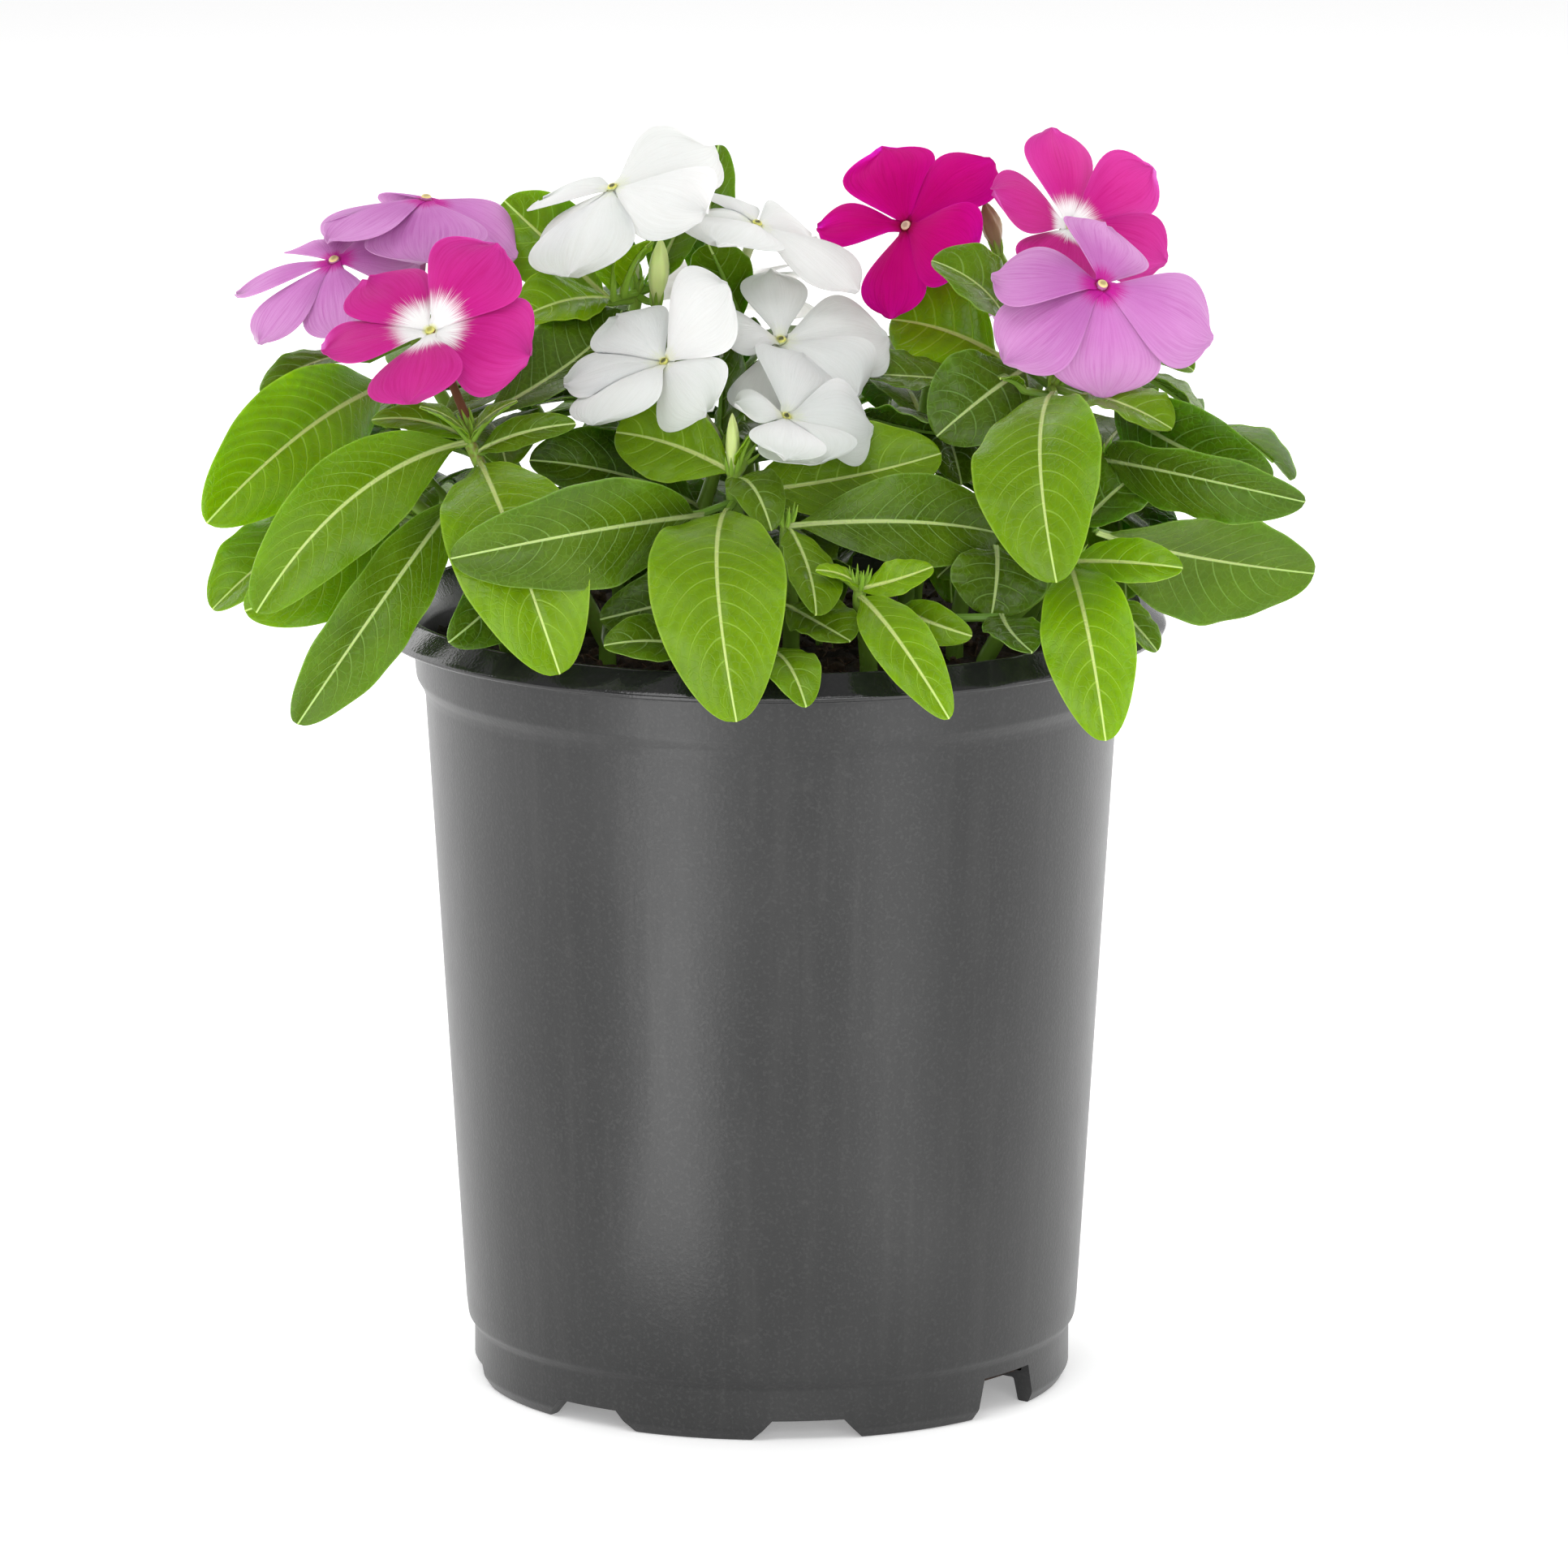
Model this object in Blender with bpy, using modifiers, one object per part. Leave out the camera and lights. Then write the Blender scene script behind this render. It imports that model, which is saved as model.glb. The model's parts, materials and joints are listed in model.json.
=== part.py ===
"""Potted Madagascar periwinkle: a bushy bedding plant in bloom, standing in a round plastic nursery pot.

The pot is turned about the Z axis and rests on z = 0. The potting mix fills it and has one plain hole
for each leafy stem. Every leafy stem is one solid with its leaves and buds, and every bloom is one solid
of a slender tube and five petals. The front of the plant faces -Y, and +X is on the right.

The plant's own sizes and places are in millimetres and are turned to metres as the meshes are made.
"""

from math import cos, pi, radians, sin

import bmesh
import bpy
from mathutils import Vector
from mathutils.bvhtree import BVHTree

MM = 0.001

# Pot, in millimetres
POT_HEIGHT = 165.0
LIP_RADIUS = 82.5
LIP_EDGE_Z = 160.6
MOUTH_RADIUS = 77.0
BAND_RADIUS = 74.9
BAND_TOP_Z = 158.0
STEP_RADIUS = 72.5
STEP_Z = 147.0
BASE_RADIUS = 64.3
BASE_Z = 16.5
FOOT_RADIUS = 62.6
FOOT_INNER_RADIUS = 58.6
FLOOR_Z = 5.2
FLOOR_TOP_Z = 7.0
WALL = 1.6
POT_SEGMENTS = 40
NOTCHES = 8
NOTCH_TURN = 7.0
NOTCH_WIDTH = 25.0
NOTCH_TOP_WIDTH = 15.0
NOTCH_HEIGHT = 4.4
DEEP_NOTCHES = (1, 5)
DEEP_NOTCH_HEIGHT = 8.8
DEEP_NOTCH_WIDTH = 20.0
DEEP_NOTCH_TOP_WIDTH = 15.0
DRAIN_HOLES = 4
DRAIN_RADIUS = 5.0
DRAIN_CIRCLE = 36.0

# Potting mix, in millimetres
SOIL_GAP = 0.3
SOIL_FOOT_RADIUS = 59.8
SOIL_STEP_INSET = 0.4
SOIL_BAND_INSET = 1.5
SOIL_TOP_INSET = 2.2
SOIL_Z = 155.5
SOIL_SEGMENTS = 30
SOIL_RINGS = 5
SOIL_WAVE = 0.8
HOLE_DEPTH = 11.0
HOLE_GAP = 0.45
HOLE_SIDES = 6

# Leaves and stems, in millimetres and degrees
STEM_RADIUS = 1.9
STEM_TAPER = 0.6
STEM_SIDES = 5
LEAF_THICKNESS = 0.7
LEAF_FOLD = 14.0
LEAF_STATIONS = (0.0, 0.22, 0.54, 0.86, 1.0)
SMALL_LEAF = 25.0
SHORT_PETIOLE = 5.0
ROOT_DEPTH = 0.6
SMALL_LEAF_STATIONS = (0.0, 0.35, 0.78, 1.0)
PETIOLE_WIDTH = 1.8
PETIOLE_SHARE = 0.06
LEAF_FULLEST = 1.08
LEAF_BASE_TAPER = 0.84
LEAF_TIP_TAPER = 0.52
WAVE = 0.05
WAVES_ALONG = 1.6
RULE_LEAF_WIDTH = 0.52
RULE_LEAF_ARCH = 0.16

# Blooms, in millimetres and degrees
PETAL_THICKNESS = 0.7
PETAL_STATIONS = (0.0, 0.4, 0.72, 0.93, 1.0)
PETAL_TILT = 10.0
PETAL_SHARE = 1.05
PETAL_FULLEST = 1.95
PETAL_BLUNTNESS = 0.55
PETAL_SLANT = -0.05
PETAL_CUP = 1.6
PETAL_SINK = 0.4
PETAL_SWEEP = 0.06
PETAL_ROOT = 0.2
CLAW_HALF_WIDTH = 1.5
TUBE_RADIUS = 1.0
THROAT_RADIUS = 2.3
CALYX_GAP = 0.35

# How far leaves and petals keep clear of their neighbours, in millimetres
CLEAR = 1.0

# Where the camera of the layout's front view looks along, so a leaf can be moved without leaving its place
# in that view.
VIEW_DOWN = 11.92

COLOURS = {
    "pot": ((0.030, 0.031, 0.032), 0.38),
    "soil": ((0.045, 0.026, 0.016), 0.95),
    "leaf": ((0.110, 0.240, 0.025), 0.45),
    "lilac": ((0.560, 0.200, 0.560), 0.55),
    "magenta": ((0.560, 0.004, 0.180), 0.50),
    "crimson": ((0.480, 0.002, 0.160), 0.50),
    "white": ((0.880, 0.880, 0.850), 0.55),
}


def vec(x, y, z):
    return Vector((x, y, z))


def leaf(base, tip, width, roll=0.0, arch=0.12, bow=0.0):
    """A leaf blade from base to tip: roll turns it about its length, arch lifts its middle, bow bends it."""
    return {"base": vec(*base), "tip": vec(*tip), "width": width, "roll": roll, "arch": arch, "bow": bow}


def pair(share, length, azimuth, drop=10.0):
    """Two opposite leaves at a share of the stem's length, placed by rule."""
    return {"share": share, "length": length, "azimuth": azimuth, "drop": drop}


SHOOTS = {
    "stem_front_left": {
        "path": [(-34, -20), (-42, -26, 176), (-57, -36, 196), (-62, -36, 205)],
        "leaves": [
            leaf((-61, -40, 201), (-43, -73, 164), 29, -20, 0.24, 0.02),
            leaf((-66, -36, 204), (-105, -64, 175), 21, 72, 0.10, 0.12),
            leaf((-63, -41, 197), (-97, -60, 151), 20, 92, 0.14, 0.09),
            leaf((-61, -28, 208), (-31, 2, 226), 22, -15, 0.06, 0.12),
            leaf((-60, -37, 203), (-40, -42, 210), 8, -50, 0.10),
            leaf((-66, -37, 206), (-82, -38, 210), 8, 40, 0.15),
            leaf((-60, -38, 207), (-52, -38, 214), 6, -20, 0.10),
            leaf((-66, -36, 207), (-72, -40, 213), 6, 30, 0.10),
            leaf((-48, -30, 182), (-66, -50, 166), 17, 70, 0.10),
        ],
        "pairs": [pair(0.45, 30, 60, 20)],
        "blooms": ["bloom_magenta_left"],
    },
    "stem_left": {
        "path": [(-46, -6), (-56, -9, 174), (-72, -16, 187), (-78, -18, 193)],
        "leaves": [
            leaf((-85, -22, 190), (-115, -36, 170), 21, 20, 0.06),
            leaf((-76, -28, 190), (-108, -47, 172), 20, 70, 0.14, -0.05),
        ],
        "pairs": [pair(0.98, 26, 80, 0), pair(0.6, 34, 170, 5)],
        "blooms": [],
    },
    "stem_back_left": {
        "path": [(-40, 16), (-50, 16, 178), (-68, 14, 204), (-75, 16, 218)],
        "leaves": [
            leaf((-79, 6, 210), (-116, -40, 189), 25, 58, 0.09, 0.05),
            leaf((-84, 14, 214), (-106, -2, 209), 11, 10, 0.10),
        ],
        "pairs": [pair(0.62, 38, 100, 10), pair(0.4, 40, 20, 15)],
        "blooms": ["bloom_lilac_left", "bloom_lilac_back"],
    },
    "stem_front_middle": {
        "path": [(-3, -26), (-5, -32, 178), (-8, -40, 196), (-6, -36, 201)],
        "leaves": [
            leaf((-9, -46, 193), (-7, -87, 157), 29, -3, 0.24, 0.05),
            leaf((-14, -46, 192), (-65, -73, 188), 24, 100, 0.08, 0.08),
            leaf((-10, -40, 199), (-32, -30, 206), 18, 60, 0.07, 0.04),
            leaf((-5, -41, 195), (35, -37, 203), 24, -46, -0.04, 0.01),
            leaf((-8, -44, 197), (0, -54, 190), 12, -10, 0.25),
            leaf((-8, -39, 200), (-4, -42, 208), 4, -30, 0.05),
        ],
        "pairs": [pair(0.45, 32, 205, 25)],
        "blooms": ["bloom_white_front"],
        "buds": [((-8, -40, 199), (-8, -40, 212), 1.4)],
    },
    "stem_middle_left": {
        "path": [(-16, -6), (-16, -8, 178), (-12, -12, 194), (-11, -13, 199)],
        "leaves": [
            leaf((-19, -10, 187), (-50, -24, 199), 20, 50, 0.10),
            leaf((-8, -16, 197), (-10, -1, 220), 17, -118, 0.02),
        ],
        "pairs": [pair(0.75, 40, 200, 5), pair(0.5, 38, 120, 15)],
        "blooms": ["bloom_white_middle"],
    },
    "stem_middle_right": {
        "path": [(11, -2), (12, -3, 178), (9, -4, 194), (7, -4, 200)],
        "leaves": [
            leaf((15, -12, 208), (44, -27, 205), 20, 15, -0.04),
        ],
        "pairs": [pair(0.7, 36, 345, 0), pair(0.45, 38, 60, 15)],
        "blooms": ["bloom_white_upper"],
    },
    "stem_top": {
        "path": [(-24, 14), (-26, 15, 180), (-30, 14, 212), (-28, 12, 228)],
        "leaves": [
            leaf((-34, 10, 227), (-56, 18, 247), 20, 55, 0.04),
            leaf((-33, 8, 227), (-53, -6, 225), 17, 40, 0.10),
            leaf((-33, 6, 228), (-32, 0, 243), 10, 0, 0.05),
            leaf((-31, 5, 229), (-25, -1, 241), 9, -10, 0.08),
            leaf((-24, 9, 230), (-17, 13, 245), 12, -30, 0.08),
        ],
        "pairs": [pair(0.8, 38, 110, 0), pair(0.6, 42, 30, 5)],
        "blooms": ["bloom_white_top"],
        "buds": [((-24, 6, 226), (-23, 4, 241), 2.1)],
    },
    "stem_back_middle": {
        "path": [(-4, 18), (-4, 20, 180), (-8, 19, 206), (-9, 17, 218)],
        "leaves": [
            leaf((-6, 12, 221), (-13, 5, 239), 13, 0, 0.06),
            leaf((-14, 19, 224), (-11, 23, 258), 13, 10, 0.06),
        ],
        "pairs": [pair(0.75, 40, 80, 0), pair(0.5, 42, 160, 10)],
        "blooms": ["bloom_white_back"],
    },
    "stem_back_right": {
        "path": [(28, 14), (29, 15, 180), (34, 15, 212), (37, 15, 227)],
        "leaves": [
            leaf((48, 8, 215), (25, 18, 221), 22, 58, 0.10, 0.03),
            leaf((42, -2, 211), (19, -8, 214), 17, 18, 0.02),
            leaf((46, 12, 226), (60, 6, 222), 12, -30, 0.15),
        ],
        "pairs": [pair(0.6, 40, 100, 5), pair(0.4, 42, 15, 10)],
        "blooms": ["bloom_crimson"],
    },
    "stem_far_right": {
        "path": [(46, 20), (47, 21, 180), (52, 25, 212), (53, 26, 224)],
        "leaves": [
            leaf((60, 20, 216), (88, 8, 212), 16, -20, 0.12),
        ],
        "pairs": [pair(0.7, 40, 60, 0), pair(0.45, 44, 140, 5)],
        "blooms": ["bloom_magenta_right"],
        "buds": [((47.5, 20.5, 235), (44.5, 20, 246), 2.0)],
    },
    "stem_right": {
        "path": [(38, -14), (42, -15, 178), (54, -22, 204), (58, -22, 214)],
        "leaves": [
            leaf((58, -33, 215), (58, -73, 183), 28, -18, 0.20),
            leaf((53, -20, 218), (34, -20, 203), 22, 48, 0.08),
            leaf((50, -8, 218), (33, -9, 238), 22, 35, 0.18),
            leaf((64, -30, 214), (82, -43, 209), 17, -10, 0.08, 0.05),
            leaf((74, -6, 216), (93, -1, 200), 14, -9, 0.05),
            leaf((70, -20, 212), (103, -48, 200), 19, -78, 0.24, 0.04),
            leaf((52, -28, 215), (47, -34, 218), 5, 0, 0.10),
        ],
        "pairs": [],
        "blooms": ["bloom_lilac_right"],
    },
    "stem_side_right": {
        "path": [(52, -6), (58, -9, 174), (66, -20, 192), (68, -26, 200)],
        "leaves": [
            leaf((70, -29, 203), (109, -58, 197), 21, -122, 0.12, -0.14),
            leaf((67, -34, 186), (113, -6, 172), 28, -118, -0.06, 0.06),
            leaf((63, -34, 186), (79, -30, 200), 17, -40, 0.07),
        ],
        "pairs": [pair(0.98, 30, 70, 5), pair(0.6, 36, 30, 10)],
        "blooms": [],
    },
    "stem_front_right": {
        "path": [(44, -36), (50, -40, 170), (59, -46, 179), (61, -47, 182)],
        "leaves": [
            leaf((61, -50, 182), (68, -77, 151), 20, -22, 0.19, -0.04),
            leaf((62, -51, 182), (84, -58, 183), 11, -52, 0.11, 0.03),
            leaf((46, -44, 185), (45, -52, 172), 21, 20, 0.16),
            leaf((68, -45, 175), (79, -50, 164), 10, -17, 0.03),
        ],
        "pairs": [],
        "blooms": [],
    },
    "stem_low_right": {
        "path": [(20, -44), (19, -52, 170), (18, -59, 176), (18, -60, 179)],
        "leaves": [
            leaf((18, -62, 177), (36, -89, 158), 13, -32, 0.17),
            leaf((19, -60, 179), (33, -62, 184), 9, -43, 0.06, 0.08),
            leaf((26, -52, 174), (41, -63, 170), 9, -80, 0.14),
            leaf((17, -60, 179), (9, -66, 184), 6, 30, 0.10),
            leaf((47, -56, 173), (53, -71, 168), 13, 0, 0.02, 0.08),
        ],
        "pairs": [],
        "blooms": [],
    },
    "stem_low_middle": {
        "path": [(4, -36), (4, -42, 172), (3, -48, 184), (3, -49, 190)],
        "leaves": [
            leaf((3, -51, 191), (9, -72, 176), 14, 20, 0.04, -0.03),
            leaf((3, -50, 191), (47, -36, 186), 20, -68, 0.18),
            leaf((2, -60, 176), (16, -79, 172), 16, -30, 0.04, -0.04),
            leaf((-1, -70, 168), (7, -87, 160), 12, -5, 0.11),
            leaf((-12, -62, 165), (-34, -74, 170), 13, 40, 0.12),
            leaf((2, -44, 180), (-35, -56, 172), 16, 75, 0.10),
        ],
        "pairs": [],
        "blooms": [],
    },
    "stem_rear_left": {
        "path": [(-32, 38), (-38, 44, 178), (-52, 54, 198), (-56, 57, 206)],
        "leaves": [],
        "pairs": [
            pair(0.97, 22, 40, -25), pair(0.85, 38, 130, 5), pair(0.66, 46, 215, 25), pair(0.45, 42, 120, 35),
        ],
        "blooms": [],
    },
    "stem_rear_middle": {
        "path": [(-4, 46), (-4, 50, 178), (-6, 57, 196), (-6, 59, 204)],
        "leaves": [],
        "pairs": [pair(0.85, 30, 100, 8), pair(0.66, 40, 15, 25), pair(0.45, 42, 100, 55)],
        "blooms": ["bloom_white_rear"],
    },
    "stem_rear_right": {
        "path": [(30, 38), (34, 44, 178), (46, 54, 198), (50, 58, 206)],
        "leaves": [],
        "pairs": [pair(0.85, 36, 50, 5), pair(0.66, 42, 150, 25), pair(0.45, 42, 60, 40)],
        "blooms": ["bloom_lilac_rear"],
    },
    "stem_side_rear": {
        "path": [(56, 10), (62, 14, 174), (76, 24, 190), (80, 27, 198)],
        "leaves": [],
        "pairs": [pair(0.97, 22, 110, -10), pair(0.84, 36, 32, 18), pair(0.62, 40, 95, 30)],
        "blooms": [],
    },
    "stem_side_left": {
        "path": [(-56, 14), (-62, 20, 174), (-76, 32, 188), (-80, 35, 195)],
        "leaves": [],
        "pairs": [pair(0.97, 24, 70, -20), pair(0.84, 36, 155, 5), pair(0.62, 40, 80, 25)],
        "blooms": [],
    },
}


def bloom(colour, eye, facing, spin, radius, calyx, lifts, skews, reaches=(1,) * 5, widths=(1,) * 5,
          share=PETAL_SHARE):
    """A bloom whose first petal is at spin. It faces (azimuth, rise): azimuth 0 is the front, 90 the right.

    Each petal has a lift out of the bloom's plane, a skew from its even place, and a reach and a width that
    are shares of the bloom's own.
    """
    return {
        "colour": colour, "eye": vec(*eye), "azimuth": facing[0], "rise": facing[1], "spin": spin,
        "radius": radius, "calyx": vec(*calyx), "lifts": lifts, "skews": skews, "reaches": reaches,
        "widths": widths, "share": share,
    }


BLOOMS = {
    "bloom_magenta_left": bloom(
        "magenta", (-70, -34, 228), (-27, 53), 71, 23.0, (-62, -33, 208),
        lifts=(16, 8, 12, 7, -8), skews=(-9, 4, -5, -7, -6), reaches=(0.97, 0.9, 0.96, 0.96, 0.97),
        widths=(0.97, 0.8, 0.62, 0.88, 0.97), share=1.08),
    "bloom_lilac_left": bloom(
        "lilac", (-91, 6, 236), (-32, 60), 36, 22.0, (-77, 15, 220),
        lifts=(-15, -21, -13, -13, -7), skews=(-1, 24, 17, -5, -27), reaches=(0.82, 1.03, 1.06, 1.08, 1.03),
        widths=(1, 0.8, 0.56, 0.8, 0.75), share=0.95),
    "bloom_lilac_back": bloom(
        "lilac", (-72, 15, 247.6), (21, 79), 45, 22.5, (-74, 18, 223),
        lifts=(-34, -36, -22, -16, -28), skews=(11, 9, -3, -13, -3), reaches=(0.96, 1.04, 1.04, 0.99, 0.98),
        share=1.15),
    "bloom_white_front": bloom(
        "white", (3, -39, 211), (31, 52), 56, 18.0, (-3, -32, 205),
        lifts=(-4, 9, 21, 15, -1), skews=(-7, 30, 34, -13, -1), reaches=(1.22, 0.62, 1.22, 0.94, 1.05),
        widths=(1, 0.56, 0.75, 1, 1), share=1.2),
    "bloom_white_middle": bloom(
        "white", (-22, -31, 221), (-44, 47), 61, 22.0, (-11, -14, 202),
        lifts=(22, 2, 11, 19, 0), skews=(-10, 20, 6, -9, -20), reaches=(0.94, 0.97, 0.96, 1.05, 0.96),
        widths=(1.05, 0.7, 0.6, 1, 0.75), share=1.15),
    "bloom_white_upper": bloom(
        "white", (2, -12, 222.2), (-7, 59), 39, 20.5, (7, -5, 203),
        lifts=(-18, 2, 22, -34, -12), skews=(-15, -13, 10, 16, -6), reaches=(1.18, 1.06, 0.7, 0.8, 0.99),
        widths=(1, 0.6, 0.84, 1, 1), share=1.15),
    "bloom_white_top": bloom(
        "white", (-33, 4, 251.6), (-36, 63), 79, 23.5, (-28, 11, 231),
        lifts=(-7, -18, -25, -9, 3), skews=(-20, 21, 6, -20, -23), reaches=(1.01, 0.97, 0.91, 1.07, 1.22),
        widths=(0.9, 0.62, 0.66, 0.95, 0.74), share=1.22),
    "bloom_white_back": bloom(
        "white", (-3, 5, 243.8), (46, 65), 0, 20.5, (-9, 16, 221),
        lifts=(-18, -12, -13, 9, -5), skews=(1, 2, -22, -17, -4), reaches=(1.06, 0.92, 0.65, 1.11, 1.25),
        widths=(0.75, 0.7, 0.6, 1, 0.7), share=1.15),
    "bloom_crimson": bloom(
        "crimson", (28, 10, 242.5), (-29, 36), 47, 21.0, (37, 15, 230),
        lifts=(-17, -7, 4, -11, 10), skews=(12, 2, -6, 6, 2), reaches=(1.13, 1.08, 0.92, 0.93, 0.96),
        widths=(0.75, 0.95, 0.56, 0.8, 0.94), share=1.0),
    "bloom_magenta_right": bloom(
        "magenta", (62, 10, 242.3), (33, 38), 16, 21.5, (53, 25, 227),
        lifts=(11, 12, 16, 12, 20), skews=(3, -8, -5, -8, 9), reaches=(1.12, 0.99, 0.95, 0.95, 0.98),
        widths=(0.86, 0.96, 0.92, 1, 1), share=0.86),
    "bloom_lilac_right": bloom(
        "lilac", (68, -30, 237), (29, 48), 51, 23.5, (59, -22, 217),
        lifts=(-14, -23, -31, -31, -9), skews=(4, 19, 0, -11, -13), reaches=(1, 0.96, 1.09, 0.97, 1.1),
        widths=(0.73, 0.86, 0.75, 0.85, 0.82), share=1.2),
    "bloom_white_rear": bloom(
        "white", (-8, 68, 220), (180, 68), 90, 21.0, (-6, 62, 207),
        lifts=(-6, 2, -8, 4, -4), skews=(0, 0, 0, 0, 0)),
    "bloom_lilac_rear": bloom(
        "lilac", (56, 65, 220), (150, 60), 100, 21.5, (51, 58, 207),
        lifts=(-8, -4, 4, -6, 0), skews=(0, 0, 0, 0, 0)),
}


def smooth_path(points, count):
    """Points along a smooth curve through the given ones."""
    ends = [points[0] * 2 - points[1]] + list(points) + [points[-1] * 2 - points[-2]]
    spans = len(points) - 1
    out = []
    for step in range(count):
        place = step * spans / (count - 1)
        span = min(int(place), spans - 1)
        t = place - span
        a, b, c, d = ends[span : span + 4]
        bend = 2 * a - 5 * b + 4 * c - d
        twist = 3 * b - a - 3 * c + d
        out.append(0.5 * (2 * b + (c - a) * t + bend * t * t + twist * t * t * t))
    return out


def stem_axis(shoot):
    """The stem's centre line, from the bottom of its hole in the soil to its top."""
    root, *rest = shoot["path"]
    ground = vec(root[0], root[1], SOIL_Z - HOLE_DEPTH + HOLE_GAP)
    above = vec(root[0], root[1], SOIL_Z + 4)
    return [ground] + smooth_path([above] + [vec(*point) for point in rest], 6)


def along(points, share):
    """The point at a share of a polyline's number of spans."""
    place = share * (len(points) - 1)
    span = min(int(place), len(points) - 2)
    return points[span].lerp(points[span + 1], place - span)


def nearest(points, target):
    """The point of a polyline that lies nearest to the target."""
    best = points[0]
    for a, b in zip(points, points[1:]):
        t = max(0.0, min(1.0, (target - a).dot(b - a) / (b - a).length_squared))
        place = a.lerp(b, t)
        if (place - target).length < (best - target).length:
            best = place
    return best


def tube_mesh(points, radii, sides=STEM_SIDES):
    """A closed round tube along points, with a radius at each."""
    verts = []
    faces = []
    side = (points[1] - points[0]).orthogonal().normalized()
    for index, (point, radius) in enumerate(zip(points, radii)):
        ahead = points[min(index + 1, len(points) - 1)] - points[max(index - 1, 0)]
        ahead.normalize()
        side = (side - ahead * side.dot(ahead)).normalized()
        across = ahead.cross(side)
        for turn in range(sides):
            angle = 2 * pi * turn / sides
            verts.append(point + (side * cos(angle) + across * sin(angle)) * radius)
    for ring in range(len(points) - 1):
        low = ring * sides
        for turn in range(sides):
            ahead_turn = (turn + 1) % sides
            faces.append((low + turn, low + ahead_turn, low + sides + ahead_turn, low + sides + turn))
    faces.append(tuple(reversed(range(sides))))
    faces.append(tuple(range(len(verts) - sides, len(verts))))
    return verts, faces


def leaf_frame(blade):
    """The blade's direction, its side and its upper face's normal. The side is level when roll is 0."""
    ahead = (blade["tip"] - blade["base"]).normalized()
    side = ahead.cross(vec(0, 0, 1))
    side = side.normalized() if side.length > 1e-4 else vec(1, 0, 0)
    up = side.cross(ahead)
    c = cos(radians(blade["roll"]))
    s = sin(radians(blade["roll"]))
    return ahead, side * c + up * s, up * c - side * s


def leaf_half_width(u, width):
    """Half the blade's width at u from 0 at its base to 1 at its tip: an oval, blunter towards the tip."""
    t = max(0.0, (u - PETIOLE_SHARE) / (1 - PETIOLE_SHARE))
    taper = LEAF_BASE_TAPER + (LEAF_TIP_TAPER - LEAF_BASE_TAPER) * t
    oval = 0.5 * width * max(0.0, sin(pi * min(t, 1.0) ** LEAF_FULLEST)) ** taper
    return max(oval, 0.5 * PETIOLE_WIDTH if u < 0.5 else 0.0)


def leaf_point(blade, u, v, wider=0.0):
    """(point, normal) of the blade's middle surface at u along it and v across it, from -1 to 1."""
    base = blade["base"]
    tip = blade["tip"]
    length = (tip - base).length
    _, side, up = leaf_frame(blade)
    middle = (base + tip) / 2 + (up * blade["arch"] + side * blade["bow"]) * 2 * length
    centre = base * (1 - u) ** 2 + middle * 2 * u * (1 - u) + tip * u * u
    ahead = ((middle - base) * (1 - u) + (tip - middle) * u).normalized()
    across = (side - ahead * side.dot(ahead)).normalized()
    normal = across.cross(ahead)
    half = leaf_half_width(u, blade["width"]) + wider
    fold = radians(LEAF_FOLD)
    ripple = sin(2 * pi * WAVES_ALONG * u + blade["phase"] + 1.3 * v)
    wave = WAVE * blade["width"] * v * v * ripple * sin(pi * u)
    point = centre + across * v * half * cos(fold) + normal * (abs(v) * half * sin(fold) + wave)
    return point, normal


def leaf_grid(blade, wider=0.0, first=0):
    """Rows of (point, normal) across the leaf: its foot on the stem, the blade's stations, the tip."""
    rows = []
    if first == 0 and blade["foot"] != blade["base"]:
        ahead, side, up = leaf_frame(blade)
        half = 0.5 * PETIOLE_WIDTH + wider
        reach = (blade["base"] - blade["foot"]).normalized()
        side = (side - reach * side.dot(reach)).normalized()
        rows.append([(blade["foot"] + side * v * half, side.cross(reach)) for v in (-1, 0, 1)])
    stations = SMALL_LEAF_STATIONS if blade["small"] else LEAF_STATIONS
    for u in stations[first:-1]:
        rows.append([leaf_point(blade, u, v, wider) for v in (-1, 0, 1)])
    rows.append([leaf_point(blade, 1.0, 0.0)])
    return rows


def petal_point(flower, number, t, v, wider=0.0):
    """(point, normal) of a petal's middle surface at t from the eye to its end and v across it."""
    azimuth = radians(flower["azimuth"])
    rise = radians(flower["rise"])
    face = vec(sin(azimuth) * cos(rise), -cos(azimuth) * cos(rise), sin(rise))
    right = vec(cos(azimuth), sin(azimuth), 0)
    top = face.cross(right)
    angle = radians(flower["spin"] + 72 * number + flower["skews"][number])
    lift = radians(flower["lifts"][number])
    flat = right * cos(angle) + top * sin(angle)
    side = top * cos(angle) - right * sin(angle)
    radius = flower["radius"]
    length = radius * flower["reaches"][number]
    reach = PETAL_ROOT + t * (length - PETAL_ROOT)
    ahead = flat * cos(lift) + face * sin(lift)
    normal = face * cos(lift) - flat * sin(lift)
    width = flower["share"] * flower["widths"][number] * radius
    half = 0.5 * width * max(0.0, sin(pi * t ** PETAL_FULLEST)) ** PETAL_BLUNTNESS
    half = max(half, CLAW_HALF_WIDTH if t < 0.5 else 0.0) + wider
    tilt = radians(PETAL_TILT)
    centre = flower["eye"] + ahead * reach + normal * (PETAL_CUP * sin(pi * t) - PETAL_SINK)
    centre += side * PETAL_SWEEP * length * t
    across = side * cos(tilt) + normal * sin(tilt) + ahead * PETAL_SLANT * t
    return centre + across * v * half, normal * cos(tilt) - side * sin(tilt)


def petal_grid(flower, number, wider=0.0):
    rows = [[petal_point(flower, number, t, v, wider) for v in (-1, 0, 1)] for t in PETAL_STATIONS[:-1]]
    rows.append([petal_point(flower, number, 1.0, 0.0)])
    return rows


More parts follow.
